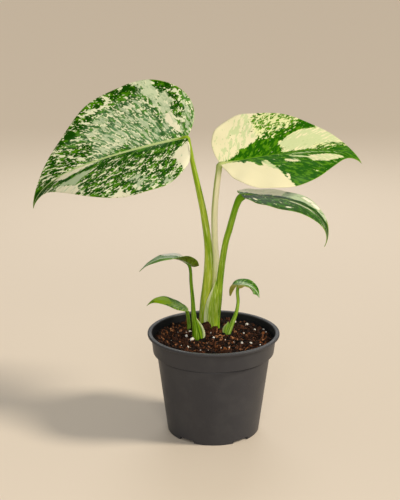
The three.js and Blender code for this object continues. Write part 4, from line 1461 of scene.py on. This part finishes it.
fleckKinds = {
    "fresh": {"power": 1.5, "size": 1.1, "stretch": 1.0, "shift": 5.0, "softness": 0.035},
    "mint": {"power": 1.6, "size": 0.75, "stretch": 1.9, "shift": 9.0, "softness": 0.035},
    "broad": {"power": 1.9, "size": 1.0, "stretch": 1.0, "shift": 0.0, "softness": 0.01},
    "fine": {"power": 2.4, "size": 0.5, "stretch": 0.75, "shift": 3.0, "softness": 0.01},
    "thin": {"power": 1.5, "size": 0.45, "stretch": 2.2, "shift": 13.0, "softness": 0.01},
}


def leafMaterial(name, groups):
    look, skin = leafLooks[name], leafSkin
    material, tree, surface = newMaterial(leaves[name]["piece"] + "Skin", skin["gloss"])
    vein = attribute(tree, "vein", "Vector")
    cream = attribute(tree, "cream")
    sheen = attribute(tree, "sheen")
    margin = attribute(tree, "margin")

    def flecks(kind, share, part=1.0):
        form = fleckKinds[kind]
        return fillGroup(tree, groups["flecks"], {
            "Place": vein,
            "Amount": times(tree, maths(tree, "POWER", share, form["power"]), part),
            "Size": form["size"] * look["fleck"],
            "Stretch": form["stretch"] * look["stretch"],
            "Seed": look["seed"] + form["shift"],
            "Softness": form["softness"],
        }).outputs

    fresh = flecks("fresh", attribute(tree, "fresh"))["Mask"]
    mint = flecks("mint", attribute(tree, "mint"))["Mask"]
    broadPart = remap(tree, sheen, 0, 1, 1.0, skin["creamInSheen"], smooth=False)
    creams = [flecks("broad", cream, broadPart), flecks("fine", cream), flecks("thin", cream, sheen)]
    creamMask = largest(tree, *[fleck["Mask"] for fleck in creams])
    halo = times(tree, largest(tree, *[fleck["Halo"] for fleck in creams]), look["haloStrength"])
    cloud = grainTone(tree, groups, skin["cloud"])

    colour = layOver(tree, linearColour(look["dark"]), fresh, look["fresh"])
    # silver green laid over: the leaf's own silvering and a painted sheen of reflected light
    silverAndSheenCloud = times(tree, sheen, remap(tree, cloud, *skin["silverAndSheenCloud"]))
    colour = layOver(tree, colour, silverAndSheenCloud, look["sheen"])
    colour = layOver(tree, colour, halo, look["halo"])
    colour = layOver(tree, colour, times(tree, mint, skin["mintOnGreen"]), look["mint"])
    solid = remap(tree, cream, *skin["solidCream"])
    pale = layOver(tree, linearColour(look["speck"]), solid, look["cream"])
    pale = layOver(tree, pale, times(tree, mint, skin["mintOnCream"]), look["mint"])
    colour = blendColours(tree, creamMask, colour, pale)

    # side veins as faint lines, and the midrib
    veinPhase = times(tree, attribute(tree, "veinIndex"), np.pi)
    veinDistance = maths(tree, "ABSOLUTE", maths(tree, "SINE", veinPhase))
    veinLine = remap(tree, veinDistance, *skin["veinLine"])
    veinLine = times(tree, veinLine, remap(tree, margin, *skin["veinFades"]))
    veinLine = times(tree, veinLine, remap(tree, creamMask, 0, 1, 1.0, skin["veinOnCream"], smooth=False))
    colour = layOver(tree, colour, veinLine, look["midrib"])
    fromRib = maths(tree, "ABSOLUTE", separated(tree, attribute(tree, "flat", "Vector"))["Y"])
    ribWidth = times(tree, plus(tree, attribute(tree, "toTip"), skin["ribAtTip"]), look["midribWidth"])
    ribLine = remap(tree, maths(tree, "DIVIDE", fromRib, ribWidth), *skin["ribLine"])
    colour = layOver(tree, colour, ribLine, look["midrib"])

    # a thin lighter line along the margin
    fromMargin = maths(tree, "DIVIDE", times(tree, fromRib, maths(tree, "SUBTRACT", 1.0, margin)), margin)
    span = (skin["marginStart"], look["marginWidth"])
    marginLine = remap(tree, fromMargin, *span, skin["marginStrength"], 0.0)
    marginLine = times(tree, marginLine, remap(tree, cloud, *skin["marginCloud"]))
    marginLine = times(tree, marginLine, maths(tree, "SUBTRACT", 1.0, creamMask))
    colour = layOver(tree, colour, marginLine, look["halo"])
    colour = layOver(tree, colour, attribute(tree, "olive"), look["underside"])
    under = attribute(tree, "underside")
    paler = layOver(tree, colour, skin["underShare"], look["underside"])
    colour = blendColours(tree, under, colour, paler)
    tree.links.new(colour, surface.inputs["Base Color"])
    rough = remap(tree, cloud, *toneSpan, *skin["roughness"], smooth=False)
    rough = plus(tree, rough, times(tree, under, skin["underRoughness"]))
    tree.links.new(rough, surface.inputs["Roughness"])
    addBump(tree, surface, grainTone(tree, groups, skin["grain"]), skin["grainDepth"])
    return material


def makeLeaves(groups):
    for name, leaf in leaves.items():
        corners, faces, values = bladeMesh(leaf, leafMarks[name])
        piece = makeObject(leaf["piece"], corners * mm, faces, leafMaterial(name, groups), values)
        dress(piece, leaf["slot"], "leaf_" + name)
        reportFit(piece, "leaf_" + name)


# Stems

stemForm = {
    "sides": 28,
    "step": 0.0016,
    "unevenness": 0.00028,
    "bumps": {"Scale": 260.0, "Detail": 2.0},
    "bumpStretch": (1, 1, 0.25),
    "pathSteps": 90,
    # where the stem goes on under the midrib: share of the leaf's length, and of the stem's top radius
    "graft": [(0.17, 0.2), (0.1, 0.38), (0.045, 0.62)],
    "leastGraft": 0.25,
    # how deep it lies there: share of the ridge's height, and more
    "graftDepth": (0.55, 0.2),
}

stemRoutes = {
    "large_left": [
        (-23.8, 4.5, 271.6, 2.2), (-22.1, 5.5, 265.5, 2.1), (-18.9, 9, 248.7, 2.1), (-13.9, 14, 224.5, 2.6),
        (-8.2, 19, 195.3, 3.1), (-4.6, 23, 164.1, 3.6), (-4.4, 25, 144.5, 4.4), (-5.6, 26, 127.8, 4.8),
        (-7, 26.5, 115, 5.1), (-8, 27, 97, 5.3), (-8, 27, 86, 5.2), (-8, 27, 74, 5),
    ],
    "large_right": [
        (5.5, 16.5, 245.4, 3), (4.5, 18, 239.6, 2.7), (1, 25, 202.6, 2.9), (1.2, 28.5, 171.1, 2.9),
        (2.4, 30.5, 152.6, 3), (2.6, 32, 132, 3), (0.8, 33, 113, 3.1), (-1, 33.5, 96, 3.3),
        (-1, 33.5, 86, 3.3), (-1, 33.5, 75, 3.3),
    ],
    "drooping": [
        (24.5, 2, 221.1, 3.5), (22.4, 3, 216.5, 3.3), (19.1, 5, 207.6, 2.8), (13.9, 10, 186.5, 2.9),
        (11.3, 12.5, 176.5, 2.8), (8.2, 17.5, 156.2, 2.9), (6, 21.5, 135, 3.2), (4.6, 23.5, 115, 3.4),
        (2.6, 25, 95, 3.5), (2.6, 25, 86, 3.5), (2.6, 25, 74, 3.4),
    ],
    "small_left": [
        (-21.2, 0, 156.3, 1.4), (-20.7, 0, 150.2, 1.4), (-20.4, 0, 141.9, 1.5), (-18.8, 0, 122.8, 1.8),
        (-17.9, 0, 108, 2.3), (-16.6, 0, 97, 3), (-16, 0, 88, 3.4), (-16, 0, 82, 3.3), (-16, 0, 76, 3.2),
    ],
    "seedling_left": [
        (-24.1, 18, 108.1, 1.6), (-23.2, 20, 99.6, 1.7), (-22.5, 21, 91, 1.9), (-22.5, 21, 84, 1.9),
        (-22.5, 21, 77, 1.9),
    ],
    "small_right": [
        (22.3, 12, 133.7, 1.5), (21.8, 12, 128, 1.5), (22.5, 12, 118.6, 1.5), (21.2, 12, 108.8, 1.7),
        (18.5, 12, 100.9, 2), (15.4, 12, 93, 2.4), (13, 12, 86, 2.5), (11.6, 12, 82, 2.5),
        (10.2, 12, 78, 2.5),
    ],
}

sheathForm = {
    **leafForm, "rows": 60, "columns": 16, "turn": 0, "bend": 0, "droop": 0, "droopPower": 3, "twist": 0,
    "ridge": 0.3, "wave": 0, "sideVeins": 5, "veinFan": (0, 0, 0), "pucker": 0, "buckle": 0.1,
}

sheaths = {
    "drooping": {
        **sheathForm, "paleSide": -1, "leastLight": 0.35, "streaks": 0.8, "edge": 0.8,
        "root": (-2, 18.6, 89.8), "length": 49, "halfWidth": 8,
        "azimuth": 0, "pitch": 85, "roll": -90,
        "left": leafHalf(8, 55, 0, halfOutline(0)),
        "right": leafHalf(8, 22, 0, halfOutline(0)),
    },
    "small_left": {
        **sheathForm, "paleSide": 1, "leastLight": 0.0, "streaks": 0.4, "edge": 0.6,
        "root": (-11.2, -1.8, 87.5), "length": 22, "halfWidth": 4.6,
        "azimuth": 180, "pitch": 77, "roll": 90,
        "left": leafHalf(0, 25, 0, halfOutline(0)),
        "right": leafHalf(0, 15, 0, halfOutline(0)),
    },
    "small_right": {
        **sheathForm, "paleSide": -1, "leastLight": 0.0, "streaks": 0.35, "edge": 0.3,
        "root": (11.2, 10.4, 88.2), "length": 12, "halfWidth": 3.6,
        "azimuth": 0, "pitch": 78, "roll": -90,
        "left": leafHalf(0, 25, 0, halfOutline(0)),
        "right": leafHalf(0, 30, 0, halfOutline(0)),
    },
}

# drop lowers the stem's top below the leaf, as a share of its radius
stemLooks = {
    "large_left": {
        "piece": "petioleLargeLeft", "slot": "green_stem", "dark": "#719a02", "light": "#ccd94c",
        "pale": "#e8efa4", "seed": 1.0, "drop": 0.3, "paleFrom": 150,
    },
    "large_right": {
        "piece": "petioleLargeRight", "slot": "pale_stem", "dark": "#f0eab8", "light": "#faf4d0",
        "pale": "#fffbe6", "seed": 4.0, "drop": 0.4, "paleFrom": 40, "line": "#86a034",
    },
    "drooping": {
        "piece": "petioleDrooping", "slot": "green_stem", "dark": "#5a8e02", "light": "#aac634",
        "pale": "#d4e484", "seed": 8.0, "drop": 0.7, "paleFrom": 110,
    },
    "small_left": {
        "piece": "petioleSmallLeft", "slot": "green_stem", "dark": "#2c6000", "light": "#80aa12",
        "pale": "#b4ce58", "seed": 15.0, "drop": 0.6, "paleFrom": 30,
    },
    "seedling_left": {
        "piece": "petioleSeedlingLeft", "slot": "green_stem", "dark": "#4c8010", "light": "#90b634",
        "pale": "#c0d670", "seed": 21.0, "drop": 0.6, "paleFrom": 10,
    },
    "small_right": {
        "piece": "petioleSmallRight", "slot": "green_stem", "dark": "#4f8c02", "light": "#9dc236",
        "pale": "#d2e494", "seed": 27.0, "drop": 0.6, "paleFrom": 12,
    },
}


# A centripetal curve through a route's points, at places from 0 to 1, with the radius as a fourth value
def routePoints(route, places):
    points = np.array(route, float)
    last = len(points) - 1
    extended = np.vstack([2 * points[0] - points[1], points, 2 * points[-1] - points[-2]])
    made = []
    for place in places * last:
        i = min(int(place), last - 1)
        share = place - i
        before, here, there, after = extended[i:i + 4, :3]
        stretches = ((before, here), (here, there), (there, after))
        first, second, third = [np.linalg.norm(end - start) ** 0.5 for start, end in stretches]
        slope = (there - here) / second
        leave = ((here - before) / first - (there - before) / (first + second) + slope) * second
        arrive = (slope - (after - here) / (second + third) + (after - there) / third) * second
        spot = (
            (2 * here - 2 * there + leave + arrive) * share ** 3
            + (3 * there - 3 * here - 2 * leave - arrive) * share ** 2 + leave * share + here
        )
        made.append([*spot, points[i, 3] + (points[i + 1, 3] - points[i, 3]) * share])
    return np.array(made)


# A Geometry Nodes tree that sweeps a round stem along a curve by the curve's own radius. It stores round,
# the place on a unit circle, along, the length from the start in metres, and facing, the outward direction.
def stemTree():
    tree, given, out = newGroup("sweptStem", {
        "Geometry": ("geometry", None),
        "Sides": ("whole", None),
        "Step": ("float", None),
        "Unevenness": ("float", None),
        "Material": ("material", None),
    }, {"Geometry": "geometry"}, "GeometryNodeTree")
    inputs = {"Curve": given["Geometry"], "Length": given["Step"]}
    path = addNode(tree, "GeometryNodeResampleCurve", inputs, mode="LENGTH").outputs["Curve"]
    length = addNode(tree, "GeometryNodeSplineParameter").outputs["Length"]
    path = stored(tree, path, "along", length)
    inputs = {"Resolution": given["Sides"], "Radius": 1.0}
    ring = addNode(tree, "GeometryNodeCurvePrimitiveCircle", inputs).outputs["Curve"]
    place = addNode(tree, "GeometryNodeInputPosition").outputs["Position"]
    ring = stored(tree, ring, "round", place, kind="FLOAT_VECTOR")
    radius = addNode(tree, "GeometryNodeInputRadius").outputs["Radius"]
    inputs = {"Curve": path, "Profile Curve": ring, "Scale": radius, "Fill Caps": True}
    tube = addNode(tree, "GeometryNodeCurveToMesh", inputs).outputs["Mesh"]
    stretched = vectorMaths(tree, "MULTIPLY", place, stemForm["bumpStretch"])
    bumps = addNode(tree, "ShaderNodeTexNoise", {"Vector": stretched, **stemForm["bumps"]}).outputs["Fac"]
    height = times(tree, maths(tree, "SUBTRACT", bumps, 0.5), given["Unevenness"])
    normal = addNode(tree, "GeometryNodeInputNormal").outputs["Normal"]
    skin = moved(tree, tube, vectorMaths(tree, "SCALE", normal, height))
    smooth = addNode(tree, "GeometryNodeSetShadeSmooth", {"Geometry": skin, "Shade Smooth": True})
    faced = stored(tree, smooth.outputs["Geometry"], "facing", normal, kind="FLOAT_VECTOR")
    finished(tree, faced, given, out)
    return tree


# The stem's route, which goes on under the leaf's midrib
def graftedRoute(name):
    leaf = leaves[name]
    route = stemRoutes[name]
    midrib = midribOf(leaf)
    graft = []
    ridgeShare, gap = stemForm["graftDepth"]
    for along, share in stemForm["graft"]:
        radius = max(share * route[0][3], stemForm["leastGraft"])
        depth = ridgeShare * leaf["ridge"] * (1 - along) + gap
        under = midribAt(midrib, along, "place") - midribAt(midrib, along, "up") * depth
        graft.append((*under, radius))
    x, y, z, radius = route[0]
    top = np.array((x, y, z)) - midrib["up"][0] * stemLooks[name]["drop"] * radius
    return graft + [(*top, radius)] + route[1:]


def makeStem(name, tree, material):
    points = routePoints(graftedRoute(name), np.linspace(0, 1, stemForm["pathSteps"]))
    data = bpy.data.curves.new(name, "CURVE")
    data.dimensions = "3D"
    spline = data.splines.new("POLY")
    spline.points.add(len(points) - 1)
    for point, (x, y, z, radius) in zip(spline.points, points * mm):
        point.co = (x, y, z, 1)
        point.radius = radius
    line = bpy.data.objects.new(name + "Line", data)
    scene.collection.objects.link(line)
    addTree(line, tree, {
        "Sides": stemForm["sides"], "Step": stemForm["step"], "Unevenness": stemForm["unevenness"],
        "Material": material,
    })
    mesh = workedMesh(line)
    mesh.name = stemLooks[name]["piece"]
    bpy.data.objects.remove(line)
    piece = bpy.data.objects.new(mesh.name, mesh)
    scene.collection.objects.link(piece)
    return piece


# What the skins of all stems share, and of all sheaths. Streaks are given as the inputs of their group, and
# Seed is added to the stem's own. Four values are a span and the span that it turns into.
stemSkin = {
    "roughness": 0.36,
    "gloss": 0.1,
    "grain": 0.0006,
    "grainDepth": 0.00008,
    "broad": {"Fineness": 1.3, "Length": 55.0, "Contrast": 3.2, "Seed": 0},
    "fine": {"Fineness": 4.5, "Length": 60.0, "Contrast": 2.6, "Seed": 2},
    "paleAtLeaf": 0.12,
    "thin": (0.5, 1.0, 0.0, 0.75),
    "lineFacing": (-0.25, -0.65, 0.0, 0.85),
    "lineFades": (30, 130, 1.0, 0.08),
    "lineAtLeaf": (25, 40, 0.75, 0.0),
}

sheathSkin = {
    "roughness": 0.4,
    "gloss": 0.15,
    "broad": {"Fineness": 1.2, "Length": 45.0, "Contrast": 3.0, "Seed": 31},
    "fine": {"Fineness": 3.4, "Length": 45.0, "Contrast": 2.6, "Seed": 37},
    "streakColour": "#f4f8c8",
    "edgeColour": "#edf0da",
    "thin": (0.45, 0.9),
    "freeSide": (0.4, 0.75),
    "freeStreaks": (0.2, 0.6, 0.35, 1.0),
    "edge": (0.88, 0.99),
    "sideStep": (0, 0.5),
}


def addStreaks(tree, groups, place, look, form):
    inputs = {**form, "Place": place, "Seed": look["seed"] + form["Seed"]}
    return fillGroup(tree, groups["streaks"], inputs).outputs["Streak"]


def stemMaterial(name, groups):
    look, skin = stemLooks[name], stemSkin
    material, tree, surface = newMaterial(look["piece"] + "Skin", skin["gloss"], skin["roughness"])
    ring = separated(tree, attribute(tree, "round", "Vector"))
    along = maths(tree, "DIVIDE", attribute(tree, "along"), mm)
    place = combined(tree, ring["X"], ring["Y"], along)
    pale = remap(tree, along, 0, look["paleFrom"], skin["paleAtLeaf"], 1.0, smooth=False)
    lighter = times(tree, addStreaks(tree, groups, place, look, skin["broad"]), pale)
    colour = layOver(tree, linearColour(look["dark"]), lighter, look["light"])
    thin = remap(tree, addStreaks(tree, groups, place, look, skin["fine"]), *skin["thin"])
    colour = layOver(tree, colour, times(tree, thin, pale), look["pale"])
    if "line" in look:
        facing = separated(tree, attribute(tree, "facing", "Vector"))["X"]
        onLine = remap(tree, facing, *skin["lineFacing"])
        onLine = times(tree, onLine, remap(tree, along, *skin["lineFades"]))
        onLine = largest(tree, onLine, remap(tree, along, *skin["lineAtLeaf"]))
        colour = layOver(tree, colour, onLine, look["line"])
    tree.links.new(colour, surface.inputs["Base Color"])
    addBump(tree, surface, grainTone(tree, groups, skin["grain"]), skin["grainDepth"])
    return material


# A sheath is coloured like its stem, with a pale streak and margin on its free side
def sheathMaterial(name, groups):
    look, form, skin = stemLooks[name], sheaths[name], sheathSkin
    material, tree, surface = newMaterial(look["piece"] + "SheathSkin", skin["gloss"], skin["roughness"])
    flat = separated(tree, attribute(tree, "flat", "Vector"))
    margin = attribute(tree, "margin")
    place = combined(tree, maths(tree, "DIVIDE", flat["Y"], form["halfWidth"] / 3), z=flat["X"])
    broad = addStreaks(tree, groups, place, look, skin["broad"])
    fine = addStreaks(tree, groups, place, look, skin["fine"])
    lighter = remap(tree, broad, 0.0, 1.0, form["leastLight"], 1.0)
    colour = layOver(tree, linearColour(look["dark"]), lighter, look["light"])
    thin = remap(tree, fine, *skin["thin"], 0.0, form["streaks"])
    colour = layOver(tree, colour, thin, look["pale"])
    onSide = remap(tree, times(tree, flat["Y"], form["paleSide"]), *skin["sideStep"])
    free = times(tree, remap(tree, margin, *skin["freeSide"], 0.0, form["edge"]), onSide)
    streaked = times(tree, free, remap(tree, fine, *skin["freeStreaks"]))
    colour = layOver(tree, colour, streaked, skin["streakColour"])
    edge = times(tree, remap(tree, margin, *skin["edge"], 0.0, form["edge"]), onSide)
    colour = layOver(tree, colour, edge, skin["edgeColour"])
    tree.links.new(colour, surface.inputs["Base Color"])
    return material


def makeStems(groups):
    tree = stemTree()
    for name, look in stemLooks.items():
        piece = makeStem(name, tree, stemMaterial(name, groups))
        dress(piece, look["slot"], "stem_" + name)
        reportFit(piece, "stem_" + name)
        if name in sheaths:
            corners, faces, values = bladeMesh(sheaths[name])
            material = sheathMaterial(name, groups)
            sheathName = look["piece"].replace("petiole", "sheath")
            sheath = makeObject(sheathName, corners * mm, faces, material, values)
            dress(sheath, look["slot"], "stem_" + name)


# The whole plant

makeCamera()
makeLights()
makeStudio()
print("studio ready")

groups = {"flecks": fleckGroup(), "streaks": streakGroup(), "grain": grainGroup()}

pot = makePot(potMaterial(groups))
dress(pot, "pot", "pot")
reportFit(pot, "pot")

lumps = soilLumps()
soil = makeSoil(lumps, soilMaterial(groups))
dress(soil, "soil", "soil")
reportFit(soil, "soil")
soilMaterials = {kind: grainMaterial(look, groups) for kind, look in grainFinishes.items()}
for piece in makeSoilDressing(soil, lumps, soilMaterials):
    dress(piece, "soil", "soil")
    print(f"{piece.name}: {len(piece.data.polygons)} faces")

makeStems(groups)
makeLeaves(groups)
